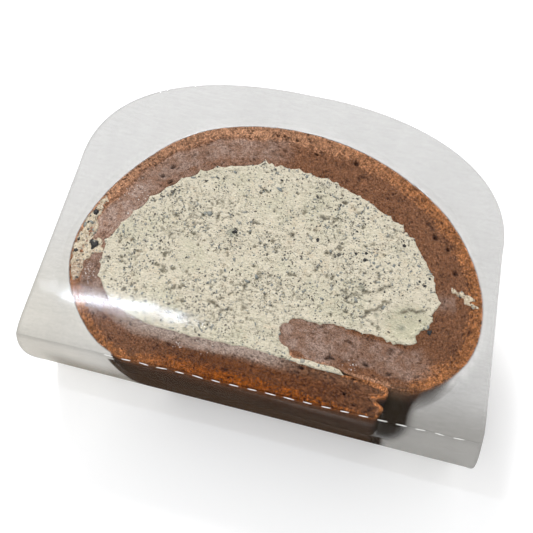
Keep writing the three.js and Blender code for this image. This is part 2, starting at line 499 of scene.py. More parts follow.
def make_world():
    world = bpy.data.worlds.new("studio")
    world.use_nodes = True
    background = world.node_tree.nodes["Background"]
    background.inputs["Color"].default_value = WHITE
    background.inputs["Strength"].default_value = WORLD_STRENGTH
    bpy.context.scene.world = world


def make_floor():
    corner = FLOOR_SIDE / 2
    mesh = bpy.data.meshes.new("floor")
    points = [(-corner, -corner, 0), (corner, -corner, 0), (corner, corner, 0), (-corner, corner, 0)]
    mesh.from_pydata(points, [], [(0, 1, 2, 3)])
    look = {"Base_Color": FLOOR_COLOUR, "Roughness": 0.9}
    glow = {"Emission_Color": FLOOR_COLOUR, "Emission_Strength": FLOOR_GLOW}
    mesh.materials.append(Shader("floor_white", **look, **glow).material)
    floor = bpy.data.objects.new("floor", mesh)
    bpy.context.scene.collection.objects.link(floor)


# ---- sponge ----

SECTION_SPACING = 0.33  # along the sheet
END_SECTIONS = 16
TOP_POINTS = 36  # across the sheet on the cut face
BOTTOM_POINTS = 8
OUTER_WALL_POINTS = 22
INNER_WALL_POINTS = 4
EDGE_POINTS = 4  # round each edge between a cut face and a wall
OUTER_EDGE_RADIUS = 0.5
INNER_EDGE_RADIUS = 0.4
ROUNDEST = 0.45  # largest edge radius as a share of the sheet's half thickness

# Pressed, damp patches on the cut face: first and last station, nearest and farthest share of the way from
# the outer face, and strength.
VEILS = [
    (6.1, 7.2, 0.36, 1.05, 1.0),
    (7.0, 8.9, 0.32, 0.80, 0.8),
    (7.0, 8.9, 0.30, 1.05, 0.4),
    (1.8, 3.7, 0.68, 1.1, 0.8),
    (3.5, 4.6, 0.66, 1.1, 0.5),
    (4.7, 6.2, 0.34, 1.05, 0.75),
    (11.97, 12.03, 0.60, 1.02, 1.0),
    (13.7, 16.0, 0.22, 0.86, 0.6),
    (15.8, 18.0, 0.02, 0.95, 0.85),
]
# Deep holes in the sponge: x, y, length along the sheet, width, and turn from the sheet's direction.
HOLES = [
    (20.9, 13.6, 1.9, 0.55, 75),
    (21.6, 13.3, 1.7, 0.55, 10),
    (20.3, 13.0, 1.2, 0.5, -40),
    (15.8, 69.8, 1.9, 1.5, 0),
    (-9.5, 63.7, 0.8, 0.7, 0),
    (-37.5, 54.0, 1.2, 0.8, 20),
    (27.9, 63.0, 0.7, 0.5, 0),
    (41.9, 53.1, 2.0, 1.2, 0),
    (37.5, 12.4, 1.3, 0.5, -30),
    (31.1, 13.6, 1.8, 0.9, 10),
    (28.8, 9.1, 1.4, 0.5, 0),
    (27.1, 4.6, 1.1, 0.8, 20),
    (14.2, 8.8, 1.6, 0.7, 0),
    (46.1, 50.2, 1.2, 0.7, 0),
    (49.3, 44.1, 1.4, 1.0, 0),
    (-8.1, 73.4, 0.9, 0.6, 0),
    (-5.9, 73.6, 0.8, 0.7, 0),
    (-2.3, 73.1, 1.0, 0.7, 0),
    (4.3, 70.1, 1.2, 0.6, 0),
    (-35.4, 57.4, 1.6, 0.9, 0),
    (-34.9, 52.7, 1.5, 0.7, 0),
]
HOLE_DEPTH = 1.3
PORE_COUNT = 1500
FOOT_LEAN = 4.6  # how far the ring's wall leans out at its foot, by the tail
BASE_SWELL = 2.2  # how far the base's wall bulges towards the film's strip
PRESSED = 0.42  # how far the sheet's faces bulge where they touch
# Width of the baked rim on the cut face, and how light the crumb is, by station.
RIM_STATIONS = (0, 1, 2, 3, 3.7, 4.8, 5.6, 7, 9, 11, 13, 14, 14.4, 17)
RIM_WIDTHS = (2.4, 3.1, 4.4, 5.2, 2.8, 2.6, 4.2, 4.4, 4.2, 3.4, 4.0, 4.4, 1.0, 0.8)
END_RIM = 0.95  # width of the rim at the tail's end
FOLD_RIM = 0.45 * END_RIM  # and where the crease in the cut face leaves the notch
TONE_STATIONS = (0, 1, 2, 3, 3.8, 4.5, 5.6, 6.4, 7.4, 8.2, 9, 11, 12.5, 13.3, 14, 15.5, 17)
TONES = (0.80, 0.84, 0.92, 0.84, 0.84, 0.84, 0.84, 1.14, 0.92, 1.02, 0.93, 0.91, 0.84, 0.8, 0.88, 0.86, 0.92)


def sheet_sections():
    """Cross-sections of the sheet from the tip of its outer end to the tip of its inner end."""
    fine = np.linspace(0, LAST_STATION, 4000)
    steps = np.linalg.norm(np.diff(middle_line(fine)[0], axis=0), axis=1)
    travel = np.concatenate([[0], np.cumsum(steps)])
    count = int(travel[-1] / SECTION_SPACING)
    place = np.interp(np.linspace(0, travel[-1], count), travel, fine)
    point, along = middle_line(place)
    half = half_thickness(place)
    share = 1 - (1 - (np.arange(END_SECTIONS) + 1) / (END_SECTIONS + 0.3)) ** 1.8
    parts = []
    for end, index, way in ((OUTER_END, 0, -1), (INNER_END, -1, 1)):
        narrowing = np.sqrt(1 - share ** (2 / end["bluntness"]))
        reach = way * end["length"] * share
        rows = point[index] + along[index] * reach[:, None]
        turned = np.repeat(along[index][None], END_SECTIONS, 0)
        parts.append((rows, turned, half[index] * narrowing, place[index] + 0 * share, reach))
    outer, inner = parts
    body = (point, along, half, place, np.zeros(count))
    joined = [np.concatenate([o[::-1], b, i]) for o, b, i in zip(outer, body, inner)]
    point, along, half, place, beyond = joined
    travel = np.interp(place, fine, travel) + beyond
    return {"point": point, "along": along, "half": half, "place": place, "beyond": beyond, "travel": travel}


def ring_profile():
    """The closed outline of a cross-section as rows of (side, flat share, inset, height share, drop): a
    point lies side * (half - inset * radius) from the middle, or the flat share of the way between the
    edges, and its height runs from 1 at the upper cut face to 0 at the lower one, less drop * radius."""
    inner = wall_profile(1, np.linspace(1, 0, INNER_WALL_POINTS))
    outer = wall_profile(-1, 0.5 - 0.5 * np.cos(np.linspace(math.pi, 0, OUTER_WALL_POINTS)))
    top = [(0, share, 1, 1, 0) for share in np.linspace(-1, 1, TOP_POINTS)]
    bottom = [(0, share, 1, 0, 0) for share in np.linspace(1, -1, BOTTOM_POINTS)]
    return np.array(top + inner + bottom + outer[::-1])


def wall_profile(side, heights):
    """A wall and its two rounded edges, from the upper one down to the lower one."""
    turns = np.linspace(0, math.pi / 2, EDGE_POINTS + 2)[1:-1]
    upper = [(side, 0, 1 - math.sin(turn), 1, 1 - math.cos(turn)) for turn in turns]
    wall = [(side, 0, 0, height, int(height == 1) - int(height == 0)) for height in heights]
    lower = [(side, 0, 1 - math.sin(turn), 0, math.cos(turn) - 1) for turn in turns[::-1]]
    return upper + wall + lower


def veil_strength(place, across):
    """How strongly the film presses on the sponge, for each point of the cut face."""
    ragged = 0.10 * fbm(place * 5, across * 3, SEED + 5)
    strength = np.zeros_like(across)
    for first, last, near, far, strongest in VEILS:
        lengthways = band(place, first - 0.3, first + 0.2, last - 0.2, last + 0.3)
        crossways = smoothstep(near - 0.05, near + 0.04, across + ragged)
        crossways = crossways * smoothstep(far + 0.05, far - 0.05, across)
        strength = np.maximum(strength, strongest * lengthways * crossways)
    return strength


def veil_border(place, across):
    """A dark line along the outer edge of the pressed patch on the roll's upper left."""
    first, _, near, _, _ = VEILS[0]
    ragged = 0.10 * fbm(place * 5, across * 3, SEED + 5) + 0.05 * fbm(place * 9, across * 2, SEED + 22)
    return band(place, first - 0.4, first, 8.2, 8.9) * bell((across + ragged - near + 0.08) / 0.05)


def milkiness(place, across):
    """How much thin cream the film has pressed on to the base beside the cream."""
    ragged = 0.05 * fbm(place * 6, across * 4, SEED + 23)
    return band(place, 1.2, 1.9, 4.0, 4.5) * smoothstep(0.56, 0.94, across + ragged)


def dig(shape, travel, aside, pits):
    """Depth of pits in the sheet's cut face, and their painted shade. Each pit is (travel, aside, length,
    width, turn, depth), and the grid's rows and columns lie at the given travels and asides."""
    depth = np.zeros(shape)
    dark = np.zeros(shape)
    for where, across, length, width, turn, deep in pits:
        first, last = np.searchsorted(travel, (where - 2 * length - 1, where + 2 * length + 1))
        rows = slice(first, last)
        along = travel[rows, None] - where
        over = aside[rows] - across
        cos, sin = math.cos(turn), math.sin(turn)
        radius = ((along * cos + over * sin) / length) ** 2 + ((over * cos - along * sin) / width) ** 2
        pit = np.exp(-(radius**2))
        depth[rows] = np.maximum(depth[rows], deep * pit)
        dark[rows] = np.maximum(dark[rows], pit)
    return depth, dark


def sponge_pits(sections):
    """The pits of the cut face: many small pores drawn out along the sheet, and a few named holes."""
    random = np.random.default_rng(SEED + 1)
    travel, half = sections["travel"], sections["half"]
    pits = []
    for _ in range(PORE_COUNT):
        where = random.uniform(travel[0] + 2, travel[-1] - 2)
        across = random.uniform(-0.95, 0.97) * np.interp(where, travel, half)
        size = random.lognormal(-1.8, 0.42)
        stretch = random.uniform(1.0, 2.0)
        turn = random.normal(0, 0.35)
        pits.append((where, across, size * stretch, size * 0.8, turn, 0.15 + 0.5 * size))
    for x, y, length, width, turn in HOLES:
        away = np.array([x, y]) - sections["point"]
        row = np.argmin((away**2).sum(1))
        right = to_right(sections["along"][row][None])[0]
        pits.append((travel[row], away[row] @ right, length / 2, width / 2, math.radians(turn), HOLE_DEPTH))
    return pits


def pressed_together(place, across):
    """How far aside the sheet's faces are pushed: its inner turn and the base bulge until they meet, and the
    ring stands into the cream low on the right."""
    outwards, inwards = smoothstep(-0.2, -1.0, across), smoothstep(0.2, 1.0, across)
    base = smoothstep(0.8, 0.45, place) * inwards
    tongue = band(place, 14.0, 14.6, 15.3, 15.7) * outwards
    return PRESSED * (base - tongue) + inner_bulge(place) * inwards


def inner_bulge(place):
    """How far the sheet stands into the cream low on the right."""
    return 0.7 * band(place, 12.1, 12.3, 13.5, 13.9) + 0.9 * band(place, 12.8, 13.2, 13.5, 13.9)


def rim_distance(xy, sections, grid):
    """How far each point of the cut face is from the sheet's baked skin, and how wide the rim is there."""
    side, height = grid["side"], grid["height"]
    outer_column = int(np.argmin(np.where(side < 0, np.abs(height - 0.5), 9)))
    inner_column = int(np.argmin(np.where(side > 0, np.abs(height - 0.5), 9)))
    end = smoothstep(-1.2, -3.0, sections["beyond"]) * (sections["place"] == 0)
    wide = lerp(np.interp(sections["place"], RIM_STATIONS, RIM_WIDTHS), END_RIM, end)
    lines = [(x, y, w) for (x, y), w in zip(xy[:, outer_column], wide)]
    lines += [(x, y, END_RIM) for (x, y), share in zip(xy[:, inner_column], end) if share > 0.2]
    for share in np.linspace(0, 1, 12):
        x, y = lerp(np.array(TAIL_FOLD[0]), np.array(TAIL_FOLD[1]), share)
        lines.append((x, y, lerp(FOLD_RIM, 0.6 * FOLD_RIM, share)))
    tree = KDTree(len(lines))
    for index, (x, y, _) in enumerate(lines):
        tree.insert((x, y, 0), index)
    tree.balance()
    distance, width = grid["from_outer"].copy(), np.ones_like(grid["from_outer"])
    for column in np.flatnonzero(grid["top"]):
        for row, (x, y) in enumerate(xy[:, column]):
            _, index, away = tree.find((x, y, 0))
            distance[row, column] = away
            width[row, column] = lines[index][2]
    return distance, width


def sheet_grid(sections):
    """The sheet's points as a grid of sections by profile points: their station, their travel along the
    sheet and past its ends, how far aside of its middle they lie, and their height z."""
    side, flat, inset, height, drop = ring_profile().T
    columns = len(side)
    half = sections["half"][:, None]
    radius = np.where((side < 0) | ((side == 0) & (flat < 0)), OUTER_EDGE_RADIUS, INNER_EDGE_RADIUS)
    radius = np.minimum(radius[None], ROUNDEST * half)
    outer = -(half - np.minimum(OUTER_EDGE_RADIUS, ROUNDEST * half))
    inner = half - np.minimum(INNER_EDGE_RADIUS, ROUNDEST * half)
    on_flat = side == 0
    aside = np.where(on_flat, lerp(outer, inner, (flat + 1) / 2), side * (half - inset * radius))
    grid = {key: np.repeat(sections[key][:, None], columns, 1) for key in ("place", "travel", "beyond")}
    lobe = tongue_lobe(grid["place"], grid["beyond"]) * smoothstep(-0.2, -1.0, aside / half)
    aside = aside + pressed_together(grid["place"], aside / half) - lobe
    return {
        **grid,
        "side": side,
        "height": height,
        "half": half,
        "aside": aside,
        "from_outer": aside + half,  # distance from the outer face
        "z": SLICE_BOTTOM + height * SLICE_THICKNESS - drop * radius,
        "top": (height == 1) & (on_flat | (drop > 0)),
        "low": (height == 0) & on_flat,
        "wall": ~on_flat & (side < 0),
    }


def carve_sheet(grid, sections):
    """Works the relief of the cut faces and the walls into the grid, with how dark its pores are."""
    travel, from_outer, aside, z = (grid[key] for key in ("travel", "from_outer", "aside", "z"))
    place, height = grid["place"], grid["height"]
    # the cut face: crumb, and pores drawn out along the sheet, with the painted shade in them
    depth, grid["dark"] = dig(aside.shape, sections["travel"], aside, sponge_pits(sections))
    crumb = 0.26 * fbm(travel, from_outer * 1.4, SEED + 2, 3)
    crumb = crumb + 0.10 * fbm(travel / 7, from_outer / 4, SEED + 3, 2)
    z = z + np.where(grid["top"], np.minimum(crumb - depth - 0.12, 0.06), 0)
    z = z + np.where(grid["low"], 0.08 * fbm(travel, from_outer, SEED + 4, 3), 0)
    # the outer wall: soft dents, and a shallow wrinkle here and there across the sheet
    dents = 0.28 * fbm(travel / 9, z / 11, SEED + 6, 3) + 0.10 * fbm(travel * 0.9, z * 0.9, SEED + 7, 3)
    aside = aside + np.where(grid["wall"], dents - 0.1, 0)
    # the wall above the base bulges towards the film's strip, and by the tail the ring's wall leans out
    swell = smoothstep(4.6, 2.5, place) * smoothstep(-4.0, -1.0, grid["beyond"]) * 4 * height * (1 - height)
    lean = band(place, 13.8, 14.1, 14.3, 14.5) * (1 - height) ** 0.7
    aside = aside - np.where(grid["wall"], BASE_SWELL * swell + FOOT_LEAN * lean, 0)
    grid.update({"aside": aside, "z": z})


def sheet_plan(grid, sections):
    """The grid's points from above. The tail's end has an upper lobe and a shorter lower one, with a notch
    between them."""
    aside = grid["aside"]
    past = grid["travel"] - sections["travel"][END_SECTIONS]
    near_tip = smoothstep(TAIL_NOTCH["reach"], -OUTER_END["length"], past)
    notch = TAIL_NOTCH["depth"] * bell((aside - TAIL_NOTCH["aside"]) / TAIL_NOTCH["width"])
    notch = near_tip * (notch - TAIL_SKEW * np.tanh(aside - TAIL_NOTCH["aside"]))
    point, along = sections["point"][:, None], sections["along"][:, None]
    right = to_right(sections["along"])[:, None]
    return point + right * aside[..., None] + along * notch[..., None]


def sponge_values(grid, sections, xy):
    """What the sponge's material reads at each point: shares of its looks, and the point on the sheet."""
    place, travel, beyond, from_outer = (grid[key] for key in ("place", "travel", "beyond", "from_outer"))
    top, z = grid["top"], grid["z"]
    across = from_outer / (2 * grid["half"])
    to_skin, width = rim_distance(xy, sections, grid)
    ragged = 0.8 * fbm(travel / 3, from_outer / 3, SEED + 8)
    ragged = ragged + 0.5 * fbm(travel / 14, from_outer * 0, SEED + 9)
    base = smoothstep(4.2, 2.2, place) * smoothstep(-4.5, 0, beyond)
    burnt = base * smoothstep(0.8, 1.8, place) * smoothstep(1.5, 0.4, to_skin)
    # painted light: lighter along the outline on the upper arc, against the shadow that the film's haze casts
    # on the edge
    edge_painted_light = smoothstep(0.9, 0.2, to_skin) * band(place, 5, 6.5, 12, 13)
    lit_end = smoothstep(1.7, 0.7, to_skin) * smoothstep(0.3, 0.0, place) * np.clip(0.8 + 0.5 * ragged, 0, 1)
    values = {
        "rim": smoothstep(1.45, 0.5, (to_skin + ragged * np.minimum(width / 3, 1)) / width),
        "base": base,
        "edge": top * (edge_painted_light + lit_end - burnt),
        "warm": base * smoothstep(7.8, 5.2, from_outer) * smoothstep(-0.9, 1.3, place),
        "tail": top * smoothstep(2.6, 0.8, place),
        "cool": band(place, 5.0, 6.5, 8.5, 11.0) + smoothstep(14.0, 14.6, place),
        # painted shade: the wall grows darker towards its foot
        "deep": np.where(grid["low"], 0.0, smoothstep(CUT_FACE - 2, CUT_FACE - 11, z)),
        "wall": np.where(grid["low"], 0.0, smoothstep(CUT_FACE - 1.0, CUT_FACE - 2.2, z)),
        "tone": np.interp(place, TONE_STATIONS, TONES),
        "line": top * veil_border(place, across),
        "pit_shade": top * grid["dark"],
        "veil": top * veil_strength(place, across),
        "milk": top * milkiness(place, across),
    }
    flat = {key: value.ravel() for key, value in values.items()}
    return {**flat, "sheet": np.stack([travel, from_outer, z], 2).reshape(-1, 3)}


def make_sponge():
    sections = sheet_sections()
    grid = sheet_grid(sections)
    carve_sheet(grid, sections)
    xy = sheet_plan(grid, sections)
    rows, columns = grid["z"].shape
    points = np.concatenate([xy, grid["z"][..., None]], 2).reshape(-1, 3)
    values = sponge_values(grid, sections, xy)
    faces = grid_faces(rows, columns, wrap=True).tolist()
    faces.append(list(range(columns))[::-1])
    faces.append(list(range((rows - 1) * columns, rows * columns)))
    return make_mesh("sponge_sheet", points, faces, [sponge_material()], "sponge", values)


WHITE = (1, 1, 1, 1)
CRUMB = srgb(134, 91, 64)
CRUMB_DARK = srgb(84, 48, 32)
CRUMB_LIGHT = srgb(186, 140, 108)
RIM = srgb(174, 114, 70)
COOL_RIM = srgb(186, 138, 106)
BASE_RIM = srgb(150, 78, 12)
BASE_CRUMB = srgb(121, 84, 60)
BASE_WARM = srgb(113, 67, 36)
VEIL = srgb(154, 124, 107)
VEIL_PALE = srgb(184, 160, 147)
MILK = srgb(192, 175, 163)
SKIN = srgb(78, 46, 22)
SKIN_LIGHT = srgb(102, 63, 34)
# painted shade low on the wall
SKIN_PAINTED_SHADE = srgb(46, 32, 22)
# painted shade in the pores and holes
PORE_SHADE = srgb(52, 30, 22)


def sponge_material():
    shader = Shader("chocolate_sponge", Roughness=0.82, Specular_IOR_Level=0.1)
    sheet = shader.vector("sheet")
    drawn_out = shader.vector("sheet", (0.85, 1.15, 1.0))
    grain = shader.noise(drawn_out, 1.7, 5.0, 0.75)
    fine = shader.noise(sheet, 3.6, 3.0, 0.65)
    flecks = shader.noise(sheet, 1.9, 2.0)
    broad = shader.noise(sheet, 0.22, 3.0)
    patches = shader.noise(sheet, 0.35, 5.0, 0.65)
    dots = shader.noise(drawn_out, 1.0, 3.0)
    streaks = shader.noise(shader.vector("sheet", (1.5, 0.5, 0.5)), 1.3, 4.0, 0.7)
    base, warm, edge = (shader.number(name) for name in ("base", "warm", "edge"))
    # the rim's border wanders with the grain, most where the rim is half there
    rim = shader.number("rim")
    unsure = rim * (1.0 - rim) * 3.6 + 0.12
    rim = (rim + grain.ramp(0.35, 0.65, -0.6, 0.6) * unsure).ramp(0.15, 0.75)
    veil = shader.number("veil") * grain.ramp(0.3, 0.6, 0.55, 0.95)
    wall = shader.layers(SKIN, [(grain.ramp(0.3, 0.7), SKIN_LIGHT), (shader.number("deep") * 0.7, SKIN_PAINTED_SHADE)])
    covers = [
        (base, BASE_CRUMB),
        (warm, BASE_WARM),
        (rim, shader.layers(RIM, [(shader.number("cool"), COOL_RIM), (warm, BASE_RIM)])),
        (broad.ramp(0.35, 0.65, 0.0, 0.2), CRUMB_DARK),
        (flecks.ramp(0.57, 0.68, 0.0, 0.4) * base.ramp(0.0, 1.0, 1.0, 0.2), CRUMB_LIGHT),
        (shader.number("line") * 0.55, CRUMB_DARK),
        (veil, shader.mix(patches.ramp(0.4, 0.62), VEIL, VEIL_PALE)),
        (shader.number("milk") * grain.ramp(0.3, 0.6, 0.45, 0.75), MILK),
        (shader.number("wall"), wall),
    ]
    factors = [
        shader.number("tone"),
        # painted light: brighter along the upper arc's outline and at the tail's lit end
        edge.ramp(0.0, 1.0, 1.0, 1.7),
        edge.ramp(-1.0, 0.0, 0.62, 1.0),
        shader.mix(veil, grain.ramp(0.37, 0.63, 0.64, 1.38), WHITE),
        fine.ramp(0.38, 0.62, 0.66, 1.34),
        shader.mix(shader.number("tail"), WHITE, dots.ramp(0.38, 0.62, 0.7, 1.38)),
        shader.mix(rim, WHITE, streaks.ramp(0.36, 0.62, 0.6, 1.25)),
    ]
    colour = shader.tints(shader.layers(CRUMB, covers), factors)
    # dark pores and holes: painted shade in the crumb's pits
    small = shader.pores(drawn_out, 0.95, 0.30, 0.32) * 0.75
    tiny = shader.pores(sheet, 2.0, 0.40, 0.36) * 0.55
    holes = shader.most(small, tiny, shader.number("pit_shade")) * base.ramp(0.0, 1.0, 1.0, 1.2)
    colour = shader.mix(holes * veil.ramp(0.2, 0.9, 0.8, 0.4), colour, PORE_SHADE)
    return shader.finish(colour, grain + fine - holes * 0.6, 0.0004, 0.9)


# ---- cream ----

CREAM_SPACING = 0.38  # between the points of the cream's upper face
CREAM_EDGE_SPACING = 0.85 * CREAM_SPACING
CREAM_OVERLAP = 0.35  # how far the cream lies over the sponge's edge
CREAM_BOTTOM_SPACING = 1.5
CREAM_WALL_ROWS = 5
WEDGE_START = 0.62  # station where the thin wedge of cream under the inner end begins
WEDGE_END = 15.62
# Tips of cream drawn over the sponge: x, y and length.
TIPS = [
    (-9.5, 62.6, 2.2),
    (-31.0, 53.5, 1.3),
    (31.5, 53.0, 1.5),
    (44.6, 42.0, 1.0),
    (46.7, 34.8, 1.3),
    (-45.8, 31.0, 1.4),
    (37.2, 22.0, 1.2),
]
# Leaf that shows through the cream: x, y and radius.
SOFT_SPOTS = [(38.3, 26.0, 0.8), (25.3, 34.6, 0.7), (-13.6, 41.9, 1.2), (31.0, 27.8, 0.6)]
# Torn ridges in the cream: start, end and rise. Each falls away sharply on its right side.
RIDGES = [
    ((26.5, 26.4), (33.5, 33.0), 0.6),
    ((29.2, 34.9), (33.2, 37.0), 0.45),
    ((36.7, 30.8), (43.6, 32.4), 0.5),
    ((20.8, 30.9), (24.8, 33.0), 0.5),
    ((-12.2, 27.1), (-14.2, 30.6), 0.5),
    ((-7.4, 25.6), (-5.4, 30.0), 0.4),
    ((-4.4, 30.2), (-2.2, 32.6), 0.6),
    ((-11.6, 20.1), (-7.6, 20.5), 0.6),
]


def cream_outline():
    """The edge of the cream on the cut face, anticlockwise from above: the sheet's faces that it touches,
    grown by a ragged overlap."""
    along = np.linspace(WEDGE_START, LAST_STATION, 1300)
    under = np.linspace(LAST_STATION, WEDGE_END, 120)
    inner_face = sheet_face(along, 1, inner_bulge(along))
    outer_face = sheet_face(under, -1, tongue_lobe(under, 0.0))
    line = resample(np.vstack([inner_face, inner_end_points(), outer_face]), CREAM_EDGE_SPACING)
    step = np.roll(line, -1, 0) - np.roll(line, 1, 0)
    outward = np.stack([-step[:, 1], step[:, 0]], 1)
    outward /= np.linalg.norm(outward, axis=1)[:, None]
    travel = np.arange(len(line)) * CREAM_EDGE_SPACING
    ragged = line + outward * ragged_edge(line, travel)[:, None]
    return ragged[::-1]


def ragged_edge(line, travel):
    """How far the cream's edge stands out at each point: round scallops between sharp tips."""
    random = np.random.default_rng(SEED + 11)
    x, y = line.T
    flat = 0 * travel
    out = CREAM_OVERLAP + 0.22 * noise(travel / 3.1, flat, SEED + 12)
    out = out + 0.12 * noise(travel / 1.1, flat, SEED + 13)
    out = out + 0.55 * smoothstep(40, 44, x) * np.abs(noise(travel / 0.75, flat, SEED + 26))
    tips = []
    where = 0.0
    while where < travel[-1]:
        where += random.uniform(2.5, 8.0)
        tips.append((where, random.uniform(0.3, 1.4), random.uniform(0.6, 1.5)))
    for tip_x, tip_y, length in TIPS:
        row = np.argmin((x - tip_x) ** 2 + (y - tip_y) ** 2)
        tips.append((travel[row], length, 1.1))
    for where, length, width in tips:
        out = np.maximum(out, CREAM_OVERLAP + length * np.exp(-np.abs(travel - where) / width) - 0.1)
    out = lerp(lerp(CREAM_OVERLAP, out, 0.3), out, smoothstep(12, 20, y))
    # drawn in by the tongue's lobe, at the wedge's end, on the upper left and low on the right
    pinched = 0.25 * bell((x - 14.5) / 4.5) * smoothstep(14, 13, y)
    pinched = pinched + 0.35 * smoothstep(16, 22, x) * smoothstep(15, 14, y)
    pinched = pinched + 0.5 * smoothstep(-8, -18, x) * smoothstep(36, 44, y)
    pinched = pinched + 0.4 * smoothstep(40, 43, x) * smoothstep(34, 32, y)
    return np.maximum(out - pinched, -0.1)


def resample(line, spacing):
    """Points at equal steps along a closed line."""
    closed = np.vstack([line, line[:1]])
    steps = np.linalg.norm(np.diff(closed, axis=0), axis=1)
    travel = np.concatenate([[0], np.cumsum(steps)])
    even = np.linspace(0, travel[-1], int(travel[-1] / spacing), endpoint=False)
    return np.stack([np.interp(even, travel, closed[:, i]) for i in (0, 1)], 1)


def inside(points, loop):
    """Which points lie inside a closed loop."""
    held = np.zeros(len(points), bool)
    x, y = points.T
    for (ax, ay), (bx, by) in zip(loop, np.roll(loop, -1, 0)):
        if ay == by:
            continue
        crosses = (y < ay) != (y < by)
        held ^= crosses & (x < ax + (y - ay) * (bx - ax) / (by - ay))
    return held


def edge_distance(points, loop, reach):
    """Distance from each point to the nearest point of a loop, no larger than reach."""
    nearest = np.full(len(points), reach)
    for start in range(0, len(points), 2000):
        block = points[start : start + 2000, None] - loop[None]
        nearest[start : start + 2000] = np.minimum(reach, np.sqrt((block**2).sum(2).min(1)))
    return nearest


def fill_loop(loop, spacing):
    """A flat mesh inside a loop: its points, the loop's own first, and its triangles."""
    random = np.random.default_rng(SEED + 14)
    low, high = loop.min(0), loop.max(0)
    xs = np.arange(low[0], high[0], spacing)
    ys = np.arange(low[1], high[1], spacing * 0.87)
    x, y = np.meshgrid(xs, ys)
    x = x + (np.arange(len(ys)) % 2)[:, None] * spacing / 2
    points = np.stack([x.ravel(), y.ravel()], 1) + random.uniform(-0.12, 0.12, (x.size, 2)) * spacing
    points = points[inside(points, loop)]
    points = points[edge_distance(points, loop, spacing) > 0.6 * spacing]
    every = [Vector(point) for point in np.vstack([loop, points])]
    made, _, faces, _, _, _ = delaunay_2d_cdt(every, [], [list(range(len(loop)))], 1, 1e-5)
    if len(made) != len(every):
        raise ValueError("the loop crosses itself")
    return np.array([tuple(point) for point in made]), [list(face) for face in faces]


def closed_patch(loop, flat, faces, height, under, spacing):
    """A closed body from a filled loop: its upper face at the given heights, walls, and a slightly uneven
    lower face about a given height."""
    top = np.column_stack([flat, height])
    count = len(loop)
    bottom_flat, bottom_faces = fill_loop(loop, spacing)
    uneven = 0.05 * noise(bottom_flat[:, 0], bottom_flat[:, 1], SEED + 19)
    bottom = np.column_stack([bottom_flat, under + uneven])
    wall = []
    for share in np.linspace(0, 1, CREAM_WALL_ROWS + 2)[1:-1]:
        wall.append(lerp(top[:count], bottom[:count], share))
    starts = [0] + [len(top) + i * count for i in range(CREAM_WALL_ROWS + 1)]
    around = np.arange(count)
    after = (around + 1) % count
    sides = []
    for upper, lower in zip(starts, starts[1:]):
        sides += np.stack([upper + after, upper + around, lower + around, lower + after], 1).tolist()
    lowest = starts[-1]
    every = faces + sides + [[lowest + i for i in reversed(face)] for face in bottom_faces]
    return np.vstack([top, *wall, bottom]), every


def hollow_ratio(x, y):
    """Distance from the middle of the cream's smooth hollow, as a share of its radius."""
    return np.hypot(x - CREAM_HOLLOW["x"], (y - CREAM_HOLLOW["y"]) * 1.25) / CREAM_HOLLOW["radius"]


def cream_relief(x, y):
    """Height of the cream's torn upper face above the cut face, and how much painted shade each point has, at
    the foot of torn steps, in pits and below ridges.
    """
    distance = hollow_ratio(x, y)
    torn_up = 1 - smoothstep(1.15, 0.6, distance)
    torn = fbm(x / 1.9, y / 1.6, SEED + 15, 4, 0.62)
    level = 3.4 * fbm(x / 7.5, y / 5.5, SEED + 16, 4, 0.55) + 0.3 * y / 5
    share = level - np.floor(level)
    where = smoothstep(-0.15, 0.35, fbm(x / 8, y / 7, SEED + 25, 2)) * torn_up
    fall = smoothstep(0, 0.14, share) - share
    foot = np.maximum(smoothstep(0.86, 1.0, share), smoothstep(0.06, 0.0, share))
    pits = smoothstep(0.42, 0.62, fbm(x / 1.7, y / 1.4, SEED + 17, 3)) * torn_up
    height = 0.16 * torn * lerp(0.4, 1, torn_up) + 0.6 * where * fall - 0.6 * pits
    height = height - CREAM_HOLLOW["depth"] * bell(distance)
    # painted shade at the foot of the torn steps and in the pits
    crease = np.maximum(0.9 * where * foot, 0.8 * pits)
    for ridge in RIDGES:
        rise, shade = ridge_relief(x, y, *ridge)
        height = height + rise
        crease = np.maximum(crease, shade)
    return height - 0.12, np.clip(crease, 0, 1)


def ridge_relief(x, y, start, end, rise):
    """Height and shade of a torn ridge, which rises slowly on its left and falls sharply on its right."""
    start, end = np.array(start), np.array(end)
    length = np.linalg.norm(end - start)
    ahead = (end - start) / length
    along = (x - start[0]) * ahead[0] + (y - start[1]) * ahead[1]
    left = -(x - start[0]) * ahead[1] + (y - start[1]) * ahead[0]
    left = left + 0.55 * noise(along / 1.3, left * 0, SEED + 27)
    left = left + 0.35 * noise(along / 0.5, left * 0, SEED + 28)
    within = band(along, -0.5, 0.8, length - 0.8, length + 0.5)
    up = 0.4 * smoothstep(2.4, 0.3, left) * smoothstep(-0.1, 0.25, left)
    down = 0.6 * smoothstep(-2.6, -0.3, left) * smoothstep(0.25, -0.1, left)
    return within * rise * (up - down), within * 0.9 * bell((left + 0.15) / 0.32)


